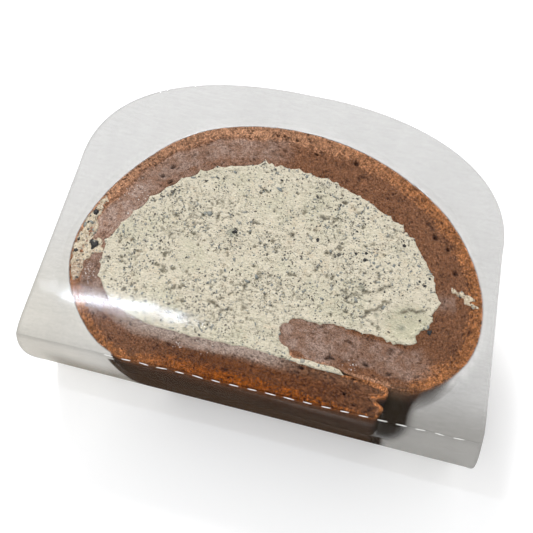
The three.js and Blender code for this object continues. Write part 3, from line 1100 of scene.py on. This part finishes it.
def make_cream():
    loop = cream_outline()
    flat, faces = fill_loop(loop, CREAM_SPACING)
    x, y = flat.T
    inward = edge_distance(flat, loop, 4.0)
    height, crease = cream_relief(x, y)
    over_edge = 0.10 + 0.06 * noise(x / 0.9, y / 0.9, SEED + 18)
    height = lerp(over_edge, np.minimum(height, 0.12), smoothstep(0.4, 2.6, inward))
    height = CUT_FACE + height - 0.22 * smoothstep(0.35, 0.0, inward)
    points, faces = closed_patch(loop, flat, faces, height, SLICE_BOTTOM - 0.06, CREAM_BOTTOM_SPACING)
    crease = np.concatenate([crease * smoothstep(0.3, 2.0, inward), np.zeros(len(points) - len(flat))])
    x, y, _ = points.T
    soft = np.zeros(len(points))
    for spot_x, spot_y, radius in SOFT_SPOTS:
        soft = np.maximum(soft, bell((x - spot_x) / radius, (y - spot_y) / radius))
    hollow = smoothstep(1.1, 0.5, hollow_ratio(x, y))
    values = {"spot": points, "crease": crease, "soft": 0.8 * soft, "hollow": hollow}
    piece = make_mesh("cream_filling", points, faces, [cream_material()], "cream", values)
    return {"loop": loop, "piece": piece}


CREAM = srgb(218, 209, 187)
CREAM_SHADE = srgb(184, 175, 151)
CREAM_GREEN = srgb(197, 193, 167)
# painted highlight on the cream's small rises
CREAM_HIGHLIGHT = srgb(236, 227, 207)
CREAM_TAN = srgb(216, 195, 165)
# painted shade in the cream's creases and pits
CREASE_SHADE = srgb(104, 97, 78)
SOFT_SPOT = srgb(124, 128, 112)
TEA = srgb(40, 40, 38)
TEA_BLUE = srgb(118, 124, 122)
LEAF = srgb(26, 24, 26)


def cream_material():
    look = {"Roughness": 0.5, "Specular_IOR_Level": 0.35}
    glow = {"Subsurface_Weight": 0.08, "Subsurface_Radius": (0.002, 0.0015, 0.001), "Subsurface_Scale": 0.5}
    shader = Shader("speckled_cream", **look, **glow)
    spot = shader.vector("spot")
    slanted = shader.vector("spot", (0.6, 1.3, 1.0))
    broad = shader.noise(spot, 0.09, 3.0)
    patches = shader.noise(spot, 0.3, 3.0)
    medium = shader.noise(slanted, 0.9, 4.0, 0.7)
    fine = shader.noise(slanted, 2.0, 4.0, 0.7)
    hollow = shader.number("hollow")
    speckled = hollow.ramp(0.0, 1.0, 1.0, 0.25)
    covers = [
        (shader.most(broad.ramp(0.45, 0.7, 0.0, 0.6), hollow), CREAM_GREEN),
        (patches.ramp(0.55, 0.7, 0.0, 0.4), CREAM_TAN),
        (medium.ramp(0.5, 0.7, 0.0, 0.5), CREAM_SHADE),
        # painted highlight on the fine bumps' rises and painted shade in their dips
        (fine.ramp(0.52, 0.64, 0.0, 0.8), CREAM_HIGHLIGHT),
        (fine.ramp(0.46, 0.34, 0.0, 0.55), CREAM_SHADE),
        # painted shade in creases and pits, and thin painted shadow lines along torn edges
        (shader.number("crease") * 0.85, CREASE_SHADE),
        (shader.hairlines(spot, 0.42, 0.014, 0.52), CREASE_SHADE),
        (shader.hairlines(slanted, 0.8, 0.016, 0.48), CREASE_SHADE),
        (shader.number("soft"), SOFT_SPOT),
        (shader.pores(slanted, 1.35, 0.30, 0.3) * speckled * 0.45, TEA_BLUE),
        (shader.pores(slanted, 1.9, 0.18, 0.30) * speckled * 0.7, TEA),
    ]
    return shader.finish(shader.layers(CREAM, covers), fine + medium, 0.0005, 0.9)


# ---- tea specks ----

# Kinds of speck: name, count, mean and spread of the logarithm of half its breadth, range of its stretch,
# share sunk in the cream, and colour.
SPECK_KINDS = [
    ("tea_specks", 1900, (-1.95, 0.36), (1.0, 1.7), 0.25, TEA),
    ("tea_specks_soft", 1500, (-1.55, 0.4), (1.0, 2.0), 0.6, TEA_BLUE),
    ("tea_fibres", 420, (-2.4, 0.2), (2.5, 6.0), 0.3, srgb(84, 80, 68)),
]
SPECK_SIDES = 6
CREAM_AREA = 3500.0  # about the area of the cream's face, in square millimetres
SPECK_HEIGHT = 0.42  # share of a speck's breadth
# The largest pieces of leaf: x, y and breadth.
LEAVES = [
    (-51.0, 30.0, 2.9),
    (-53.4, 39.2, 1.6),
    (-55.8, 27.0, 1.2),
    (-55.9, 30.4, 0.9),
    (-54.6, 35.9, 0.8),
    (-13.0, 42.5, 1.5),
    (10.4, 45.1, 1.1),
    (34.1, 48.7, 1.0),
    (45.9, 26.2, 1.4),
    (40.4, 39.5, 0.8),
    (42.9, 41.0, 0.8),
    (42.0, 38.7, 0.9),
    (21.6, 43.5, 0.9),
    (24.3, 44.3, 0.9),
    (24.4, 42.3, 1.1),
    (42.6, 29.0, 0.6),
    (51.9, 37.8, 0.7),
]
LEAF_SIDES = 16


def make_tea(cream, smears, sponge):
    """Pieces of tea leaf: small flattened lumps, half sunk in the cream and its smears, and a few larger
    ones, some of which lie on the sponge."""
    surfaces = [cream["piece"], smears]
    for number, (name, count, size, stretch, sunk, colour) in enumerate(SPECK_KINDS):
        random = np.random.default_rng(SEED + 30 + number)
        spots = speck_spots(random, count, cream["loop"])
        half = random.lognormal(*size, len(spots))
        stretch = random.uniform(*stretch, len(spots))
        height = surface_height(surfaces, spots)
        points, faces = lumps(random, spots, half, stretch, sunk, height, SPECK_SIDES)
        add_tea(name, points, faces, random.uniform(0, 1, len(spots)), colour)
    random = np.random.default_rng(SEED + 41)
    spots = np.array([(x, y) for x, y, _ in LEAVES])
    half = np.array([breadth / 2 for _, _, breadth in LEAVES])
    height = surface_height([*surfaces, sponge], spots)
    points, faces = lumps(random, spots, half, np.full(len(half), 1.1), 0.35, height, LEAF_SIDES, 0.25)
    add_tea("tea_leaves", points, faces, random.uniform(0, 0.06, len(spots)), LEAF)


def speck_spots(random, count, loop):
    """Places for specks: thick in patches, few round the smooth hollow, and some on each smear."""
    spots = random.uniform(loop.min(0), loop.max(0), (count * 4, 2))
    spots = spots[inside(spots, loop)]
    x, y = spots.T
    dense = 0.42 + 0.9 * fbm(x / 5, y / 5, SEED + 34) + y / 300
    bowl = np.hypot(x - CREAM_HOLLOW["x"] + 3, y - CREAM_HOLLOW["y"]) / CREAM_HOLLOW["radius"]
    dense = dense * (1 - 0.85 * smoothstep(1.2, 0.7, bowl))
    spots = spots[random.uniform(0, 0.9, len(spots)) < dense][:count]
    for outline in SMEARS:
        smear = np.array(outline, float)
        low, high = smear.min(0), smear.max(0)
        more = random.uniform(low, high, (int(count * (high - low).prod() / CREAM_AREA), 2))
        spots = np.vstack([spots, more[inside(more, smear)]])
    return spots


def add_tea(name, points, faces, shades, colour):
    """A piece of lumps, each with its own shade."""
    values = {"shade": np.repeat(shades, len(points) // len(shades))}
    make_mesh(name, points, faces, [tea_material(name, colour)], values=values)


# Outlines of the smears of cream that the film has pressed on to the sponge.
SMEARS = [
    [
        (-51.7, 45.2), (-53.5, 42.4), (-54.9, 39.0), (-56.0, 35.0), (-56.7, 31.0), (-56.8, 27.5),
        (-56.5, 24.0), (-55.6, 20.5), (-54.2, 18.0), (-53.0, 19.2), (-52.0, 21.4), (-52.2, 24.0),
        (-51.2, 25.6), (-49.8, 27.2), (-47.6, 28.0), (-48.6, 30.9), (-50.4, 32.6), (-51.1, 35.0),
        (-51.9, 36.8), (-51.4, 39.4), (-51.8, 41.6), (-50.6, 43.4),
    ],
    [
        (48.9, 38.8), (50.6, 38.1), (52.4, 37.5), (53.4, 36.6), (54.8, 36.0), (56.0, 35.3), (57.3, 34.8),
        (57.7, 35.8), (56.5, 37.0), (55.6, 38.4), (54.1, 39.1), (52.3, 39.2), (50.6, 39.5), (48.9, 39.9),
    ],
]
SMEAR_SPACING = 0.3
SMEAR_RAGGED = 0.42  # how far the smears' outlines wander
SMEAR = srgb(208, 193, 166)
SMEAR_SHADE = srgb(176, 160, 134)
SMEAR_THIN = srgb(150, 112, 86)
# painted shade in the smears' small dips
SMEAR_DIP_SHADE = srgb(140, 124, 96)


def make_smears():
    """Thin uneven smears of cream on the sponge, in one piece."""
    points, faces, thin = [], [], []
    for outline in SMEARS:
        loop = resample(np.array(outline, float), SMEAR_SPACING)
        x, y = loop.T
        ragged = np.column_stack([noise(x / 1.3, y / 1.3, SEED + 50), noise(x / 1.3, y / 1.3, SEED + 51)])
        loop = loop + SMEAR_RAGGED * ragged
        flat, patch = fill_loop(loop, SMEAR_SPACING)
        x, y = flat.T
        height = np.minimum(0.26 * fbm(x / 0.9, y / 0.9, SEED + 52, 3) + 0.02, 0.14)
        height = height - 0.3 * smoothstep(0.5, 0.0, edge_distance(flat, loop, 3.0))
        body, patch = closed_patch(loop, flat, patch, CUT_FACE + height, CUT_FACE - 1.0, 1.0)
        start = sum(len(block) for block in points)
        faces += [[start + i for i in face] for face in patch]
        points.append(body)
        x, y, z = body.T
        faded = 0.75 * smoothstep(27.0, 21.0, y + 2.5 * noise(x / 1.5, y / 1.5, SEED + 53))
        thin.append(np.maximum(smoothstep(0.05, -0.2, z - CUT_FACE), faded))
    points = np.vstack(points)
    values = {"spot": points, "thin": np.concatenate(thin)}
    return make_mesh("cream_smears", points, faces, [smear_material()], values=values)


def smear_material():
    shader = Shader("smeared_cream", Roughness=0.45)
    spot = shader.vector("spot")
    medium = shader.noise(spot, 0.8, 4.0, 0.65)
    fine = shader.noise(spot, 2.2, 3.0, 0.65)
    covers = [
        (medium.ramp(0.42, 0.6), SMEAR_SHADE),
        (shader.number("thin") * 0.75, SMEAR_THIN),
        # painted highlight on the fine bumps' rises and painted shade in their dips
        (fine.ramp(0.5, 0.64, 0.0, 0.6), CREAM_HIGHLIGHT),
        (fine.ramp(0.45, 0.36, 0.0, 0.5), SMEAR_DIP_SHADE),
        (shader.pores(spot, 1.1, 0.3, 0.3) * 0.85, TEA),
    ]
    return shader.finish(shader.layers(SMEAR, covers), fine + medium, 0.0004, 0.8)


# Clusters of tiny beads between the sponge and the film, near white as painted glints: x, y, spread and how
# many.
BEADS = [
    (-50.3, 21.7, 3.2, 60),
    (-47.5, 25.8, 1.2, 10),
    (-43.3, 47.8, 3.6, 40),
    (-20.4, 7.4, 1.3, 12),
    (-12.5, 9.8, 3.6, 40),
    (27.5, 12.3, 1.8, 14),
]
BEAD_SIDES = 8
# painted glint
GLINT_WHITE = srgb(236, 228, 222)


def make_beads(sponge):
    random = np.random.default_rng(SEED + 60)
    spots = np.vstack([random.normal((x, y), spread / 2, (count, 2)) for x, y, spread, count in BEADS])
    half = random.lognormal(-2.4, 0.35, len(spots))
    height = surface_height([sponge], spots)
    points, faces = lumps(random, spots, half, np.full(len(half), 1.1), 0.2, height, BEAD_SIDES, 0.6)
    # near white, standing for the beads' glints
    shader = Shader("bead_glint", Base_Color=GLINT_WHITE, Roughness=0.25)
    make_mesh("bead_glints", points, faces, [shader.material])


def surface_height(pieces, spots):
    """Height of the highest of some pieces above each spot, in the working frame."""
    offset = frame_offset()
    heights = []
    for x, y in spots:
        start = (Vector((x, y, CUT_FACE + 5)) + Vector(offset)) * MM
        found = [CUT_FACE - 1.0]
        for piece in pieces:
            hit, place, _, _ = piece.ray_cast(start, (0, 0, -1), distance=0.01)
            if hit:
                found.append(place.z / MM)
        heights.append(max(found))
    return np.array(heights)


def lumps(random, spots, half, stretch, sunk, ground, sides, tall=SPECK_HEIGHT * 2):
    """Flattened lumps of uneven outline, joined into one mesh. tall is their height for each unit of half."""
    turn = random.uniform(0, math.pi, len(spots))
    points, faces = [], []
    angles = np.linspace(0, 2 * math.pi, sides, endpoint=False)
    for (x, y), size, long, heading, floor in zip(spots, half, stretch, turn, ground):
        ragged = size * random.uniform(0.7, 1.25, sides)
        along = ragged * np.cos(angles) * long
        across = ragged * np.sin(angles) + 0.06 * long * size * (along / (size * long)) ** 2 * random.normal()
        cos, sin = math.cos(heading), math.sin(heading)
        thick = size * tall
        middle = floor + thick * (0.5 - sunk)
        ring = np.column_stack([x + along * cos - across * sin, y + along * sin + across * cos])
        start = len(points)
        points += [(*point, middle) for point in ring]
        points += [(x, y, middle + thick / 2), (x, y, middle - thick / 2)]
        for i in range(sides):
            here, after = start + i, start + (i + 1) % sides
            faces += [(here, after, start + sides), (after, here, start + sides + 1)]
    return np.array(points), faces


def tea_material(name, colour):
    shader = Shader(name, Roughness=0.6)
    lighter = [lerp(v, c, 0.3) for v, c in zip(colour, CREAM)]
    shader.set("Base Color", shader.mix(shader.number("shade"), colour, lighter))
    return shader.material


# ---- film ----

PANEL_ROWS_BELOW = 18  # rows below the shoulder
PANEL_ROWS_ARCH = 34
STRIP_ROWS = 16
FILM_COLUMNS = 120
CREASE_HEIGHTS = (0.3, 1.0)  # extra rows just above each crease
TUCK_HEIGHT = 9.0  # up to which the back panel's corners are drawn in
FRONT_PANEL = CUT_FACE + CLEARANCE + FILM_THICKNESS / 2  # heights of the panels' middle surfaces
BACK_PANEL = FILM_THICKNESS / 2
SHOWN_THICKNESS = 0.12  # of the film in the picture
# The slice's wall behind the film's strip: its left end at the cut face, how far that leans to the right down
# to the foot, and its right end.
WALL_LEFT = -37.4
WALL_LEAN = 12.0
WALL_RIGHT = 38.5
FILM_WAVE = 0.10  # height of the front panel's and the strip's soft waves


def panel_reach(height, side):
    """Distance from the panel's middle to its edge at a height above its crease."""
    base = lerp(FILM_WIDTH / 2, side["shoulder"], min(height / SHOULDER_HEIGHT, 1))
    rise = max(0, (height - SHOULDER_HEIGHT) / (FILM_HEIGHT - SHOULDER_HEIGHT))
    corner = CORNER_INSET * max(0, 1 - height / CORNER_HEIGHT) ** 2
    return base * (1 - rise ** side["squareness"]) ** (1 / side["squareness"]) - corner


def film_edge(side):
    """One side edge of the film's middle surface, from the front panel's top to the back panel's top."""
    low = [*CREASE_HEIGHTS, *np.linspace(0, 1, PANEL_ROWS_BELOW, endpoint=False)[1:] * SHOULDER_HEIGHT]
    arch = np.radians(np.linspace(0, ARCH_END_ANGLE, PANEL_ROWS_ARCH))
    heights = [*low, *(SHOULDER_HEIGHT + (FILM_HEIGHT - SHOULDER_HEIGHT) * np.sin(arch))]
    reach = side["direction"]
    panel = [(reach * panel_reach(y, side), y) for y in heights]
    rows = [(x, y, FRONT_PANEL) for x, y in reversed(panel)]
    for share in np.linspace(0, 1, STRIP_ROWS):
        arc = 4 * share * (1 - share)
        along = panel_reach(0, side) + side["flare"] * arc - side["tuck"] * smoothstep(0.5, 1, share)
        rows.append((reach * along, -side["bulge"] * arc, lerp(FRONT_PANEL, BACK_PANEL, share)))
    for x, y in panel:
        rows.append((x - reach * side["tuck"] * max(0, 1 - y / TUCK_HEIGHT) ** 2, y, BACK_PANEL))
    return np.array(rows)


def make_film():
    left, right = film_edge(LEFT_SIDE), film_edge(RIGHT_SIDE)
    rows = len(left)
    middle = lerp(left[:, None], right[:, None], np.linspace(0, 1, FILM_COLUMNS)[None, :, None])
    downhill = np.gradient(middle, axis=0)
    normal = np.stack([0 * downhill[..., 0], downhill[..., 2], -downhill[..., 1]], 2)
    normal /= np.linalg.norm(normal, axis=2)[..., None]
    x, y, z = np.moveaxis(middle, 2, 0)
    wave = FILM_WAVE * fbm(x / 38, (y + z) / 30, SEED + 21, 2)
    wave = np.where((z > CUT_FACE) | (y < 0), wave, wave * 0.2)
    middle = middle + normal * wave[..., None]
    outer = middle + normal * SHOWN_THICKNESS / 2
    inner = middle - normal * SHOWN_THICKNESS / 2
    points = np.vstack([outer.reshape(-1, 3), inner.reshape(-1, 3)])
    grid = grid_faces(rows, FILM_COLUMNS)
    border = rim_loop(rows, FILM_COLUMNS)
    after = np.roll(border, -1)
    below = rows * FILM_COLUMNS
    edge = np.stack([border, border + below, after + below, after], 1)
    faces = np.vstack([grid[:, ::-1], grid + below, edge[:, ::-1]]).tolist()
    finishes = {
        "shine": film_shine(),
        "front": film_haze("film_front", FRONT_SHADES, 0.0),
        "strip": film_haze("film_strip", STRIP_SHADES, STRIP_HAZE),
        "clear": film_clear(),
        "edge": film_edge_material(),
    }
    shine, front, strip, clear, cut_edge = range(len(finishes))
    row = np.arange(len(grid)) // (FILM_COLUMNS - 1)
    panel = (rows - STRIP_ROWS) // 2
    back = row >= rows - panel - 1
    outside = np.where(back, clear, shine)
    within = np.where(back, clear, np.where(row >= panel, strip, front))
    round_edge = np.where(border // FILM_COLUMNS >= rows - panel, clear, cut_edge)
    kinds = np.concatenate([outside, within, round_edge]).astype(np.int32)
    make_mesh("film_wrap", points, faces, [*finishes.values()], "film", film_values(points), kinds)


def film_values(points):
    """What the film's materials read at each point: its distance outside the slice's outline and over how far
    it clouds there, how near it is to the lower left corner, where shade is painted, and to the outline,
    where lighter haze is painted, its painted shadow low and high on the right and along the left crease, its
    shares of the dark nook's painted shadow, of the film's foot and of the slice's shaded wall painted on the
    film, and the point itself."""
    loop = slice_outline()
    flat = points[:, :2]
    gap = edge_distance(flat, loop, 60.0) * np.where(inside(flat, loop), -1, 1)
    x, y, z = points.T
    # over the slice's wall, whose left edge leans to the right with depth
    wall_left = WALL_LEFT + WALL_LEAN * np.clip(1 - z / CUT_FACE, 0, 1)
    gap = lerp(gap, np.minimum(gap, np.maximum(wall_left - x, x - WALL_RIGHT)), smoothstep(4, 1.5, y))
    low_right = band(x, 10, 25, 48, 60) * smoothstep(18, 8, y)
    upper_right = smoothstep(20, 60, x) * smoothstep(20, 35, y)
    left_crease = smoothstep(CUT_FACE - 4, CUT_FACE, z) * smoothstep(5, 0, y) * smoothstep(-8, -25, x)
    # painted shadow: the haze darker low on the right towards the crease, along the left crease, and a little
    # high on the right
    painted_shadow = np.maximum(smoothstep(16, 0, y) * smoothstep(15, 45, x), 0.14 * upper_right)
    gap, nook_shadow = film_nook_shadow(gap, x, y, z)
    return {
        "gap": gap,
        "reach": lerp(0.2, 6.5, low_right),
        # painted shade: the haze darker and warmer towards the lower left corner
        "corner": bell((x + 66) / 30, (y - 2) / 30),
        "painted_shadow": np.maximum(painted_shadow, 0.22 * left_crease),
        "nook_shadow": nook_shadow,
        # painted: higher up, the nook's shadow turns to the ring wall's brown
        "ring_wall": smoothstep(6.0, 7.4, y),
        "foot": smoothstep(-64, -54, x) * smoothstep(10, -20, x),
        "slant": smoothstep(-2.4, -0.4, x - wall_left) * smoothstep(40.0, 37.0, x),
        # painted light: lighter, denser haze just outside the slice's outline, over the shade there
        "near": smoothstep(3.0, 0.3, gap) * (1 - low_right),
        "spot": points,
    }


def film_nook_shadow(gap, x, y, z):
    """The film's gap, cleared over the nook between the tail and the ring's wall, and the share of the nook's
    painted shadow.
    """
    depth = smoothstep(CUT_FACE, CUT_FACE - 14, z)
    above = smoothstep(CUT_FACE - 16, CUT_FACE - 5, z)
    gap = gap - 9 * above * bell((x - 40.5) / 3.6, (y - 6) / 6)
    left = lerp(smoothstep(37.9, 39.4, x), smoothstep(36.8, 38.0, x), smoothstep(3.0, 1.5, y))
    right = 47.5 - 4 * depth - 1.5 * band(y, 2, 5, 6.8, 8.2)
    nook_shadow = left * smoothstep(right, right - 4.9, x) * smoothstep(9.4, 7.6, y) * above
    # the end of the slice's wall, and the cloudy film beside it, painted dark as shadow
    beside = smoothstep(36.0, 37.4, x) * smoothstep(1.5, 0.3, y) * (1 - above)
    gap = lerp(gap, np.maximum(gap, 9), beside)
    return gap, np.maximum(nook_shadow, beside * smoothstep(42.0, 37.4, x))


def rim_loop(rows, columns):
    """The points round a grid's border, in order."""
    top = np.arange(columns)
    right = np.arange(1, rows) * columns + columns - 1
    bottom = (rows - 1) * columns + np.arange(columns - 1)[::-1]
    left = np.arange(1, rows - 1)[::-1] * columns
    return np.concatenate([top, right, bottom, left])


MIRRORED = 0.008  # share of light that the film mirrors
HAZE = 0.72  # share of haze in the film well outside the slice
STRIP_HAZE = 0.985  # and of the wall's colour in the strip, where it is seen at a slant
# painted shadow in the nook beside the tail, with the ring's wall painted above it
NOOK_SHADOW_COLOUR = srgb(35, 28, 20)
RING_WALL = srgb(98, 78, 62)
STRIP_FOOT = srgb(146, 140, 130)
CLEAR = (0.985, 0.985, 0.985, 1)
# the slice's wall in its shade, painted on the film where the strip is seen at a slant
WALL_SHADE = srgb(60, 46, 35)
# Colours of the haze by zone: plain; lighter along the slice's outline, which is painted light; darker and
# warmer at the lower left corner, which is painted shade; darker still, which is painted shadow; and the
# slice's shaded wall, painted on the film.
FRONT_SHADES = {
    "plain": srgb(176, 175, 173),
    "near": srgb(198, 197, 195),
    "corner": srgb(188, 184, 175),
    "painted_shadow": srgb(138, 136, 132),
    "wall": WALL_SHADE,
}
STRIP_SHADES = {
    "plain": srgb(192, 190, 187),
    "near": srgb(192, 190, 187),
    "corner": srgb(193, 188, 178),
    "painted_shadow": srgb(160, 158, 154),
    "wall": WALL_SHADE,
}


def film_shine():
    """The film's outer face, which is clear but mirrors the lamps."""
    shader = Shader("film_shine", Base_Color=(0.9, 0.93, 0.97, 1), Roughness=0.05, Metallic=0.95)
    scratches = shader.noise(shader.vector("spot", (0.7, 3.0, 1.0)), 1.0, 5.0, 0.75)
    return film_mix(shader, scratches.ramp(0.32, 0.68, 0.4 * MIRRORED, 1.6 * MIRRORED))


def film_clear():
    """The film's back panel, under the slice."""
    return film_mix(Shader("film_clear", Base_Color=(0.9, 0.9, 0.9, 1), Roughness=0.3), 0.01)


def film_haze(name, shades, grazing):
    """The film's inner face. It clouds what lies farther behind it, paints the colour of the slice's dark,
    shaded wall where it is seen at a slant, as far as grazing says, and paints the dark nook's shadow beside
    the tail."""
    shader = Shader(name, Roughness=0.6, Specular_IOR_Level=0.0)
    bands = shader.noise(shader.vector("spot", (0.12, 0.02, 0.02)), 1.0, 3.0)
    scuffs = shader.noise(shader.vector("spot", (0.25, 1.6, 1.6)), 1.0, 4.0, 0.7)
    grain = shader.noise(shader.vector("spot"), 1.3, 4.0, 0.7)
    corner, painted_shadow, near = (shader.number(key) for key in ("corner", "painted_shadow", "near"))
    fade = shader.number("gap").ramp(-0.6, shader.number("reach"), 0.0, HAZE)
    for zone, most in ((corner, 1.28), (painted_shadow, 1.3), (near, 1.28)):
        fade = fade * zone.ramp(0.0, 1.0, 1.0, most)
    fade = shader.math("MINIMUM", fade, 0.95)
    nook_shadow = shader.number("nook_shadow") * 0.96
    away = shader.wire("Facing", "ShaderNodeLayerWeight", {"Blend": 0.5})
    # painted shade: the shaded wall's colour where the strip is seen at a slant
    slanted = away.ramp(0.5, 0.77) * grazing * shader.number("slant")
    foot = shader.number("foot") * away.ramp(0.69, 0.85, 0.0, 0.95 * grazing)
    zones = [(near, shades["near"]), (corner, shades["corner"]), (painted_shadow, shades["painted_shadow"])]
    haze = shader.layers(shades["plain"], zones)
    uneven = ((bands, 0.03), (scuffs, 0.05), (grain, 0.04))
    haze = shader.tints(haze, [mark.ramp(0.3, 0.7, 1 - depth, 1 + depth) for mark, depth in uneven])
    haze = shader.layers(haze, [(foot, STRIP_FOOT), (slanted.ramp(0.0, 0.3), shades["wall"])])
    share = shader.most(fade, slanted, nook_shadow)
    nook_shadow_share = shader.math("DIVIDE", nook_shadow, shader.most(share, 0.02))
    dark = shader.mix(shader.number("ring_wall"), NOOK_SHADOW_COLOUR, RING_WALL)
    shader.set("Base Color", shader.mix(nook_shadow_share, haze, dark))
    return film_mix(shader, share)


def film_mix(shader, share):
    """The material of a shader that covers only a share of what lies behind."""
    clear = shader.wire(0, "ShaderNodeBsdfTransparent", {"Color": CLEAR})
    solid = Wire(shader, shader.principled.outputs[0])
    both = shader.wire(0, "ShaderNodeMixShader", {0: share, 1: clear, 2: solid})
    shader.join(both, shader.output.inputs["Surface"])
    return shader.material


def film_edge_material():
    return Shader("film_cut_edge", Base_Color=(0.55, 0.57, 0.58, 1), Roughness=0.3, Alpha=0.75).material


# ---- the perforation along the front crease ----

DASH_PITCH = 5.1
DASH_LENGTH = 2.7
DASH_WIDTH = 0.28
DASH_HEIGHT = 0.1
DASH_PLACE = -0.12  # y of the dashes, just past the crease
DASH_STEPS = 7
DASH_SIDES = 6
FIRST_DASH = -38.0
LAST_DASH = 64.0


def make_perforation():
    """Short cuts along the crease, whose torn lips show white."""
    random = np.random.default_rng(SEED + 40)
    points, faces = [], []
    for middle in np.arange(FIRST_DASH, LAST_DASH, DASH_PITCH):
        length = DASH_LENGTH * random.uniform(0.85, 1.1)
        tilt = random.normal(0, 0.04)
        start = len(points)
        for share in np.linspace(0, 1, DASH_STEPS):
            fullness = 0.35 + 0.65 * math.sin(math.pi * (0.12 + 0.76 * share))
            half = DASH_WIDTH * fullness * random.uniform(0.9, 1.1) / 2
            x = middle + length * (share - 0.5)
            y = DASH_PLACE + tilt * (share - 0.5) * length
            for turn in np.linspace(0, 2 * math.pi, DASH_SIDES, endpoint=False):
                points.append((x, y + half * math.cos(turn), FRONT_PANEL + DASH_HEIGHT * math.sin(turn)))
        faces += (grid_faces(DASH_STEPS, DASH_SIDES, wrap=True) + start).tolist()
        ends = np.arange(DASH_SIDES)
        faces.append((start + ends[::-1]).tolist())
        faces.append((start + (DASH_STEPS - 1) * DASH_SIDES + ends).tolist())
    shader = Shader("perforation_white", Base_Color=(0.72, 0.71, 0.69, 1), Roughness=0.5)
    make_mesh("perforation", np.array(points), faces, [shader.material])


main()
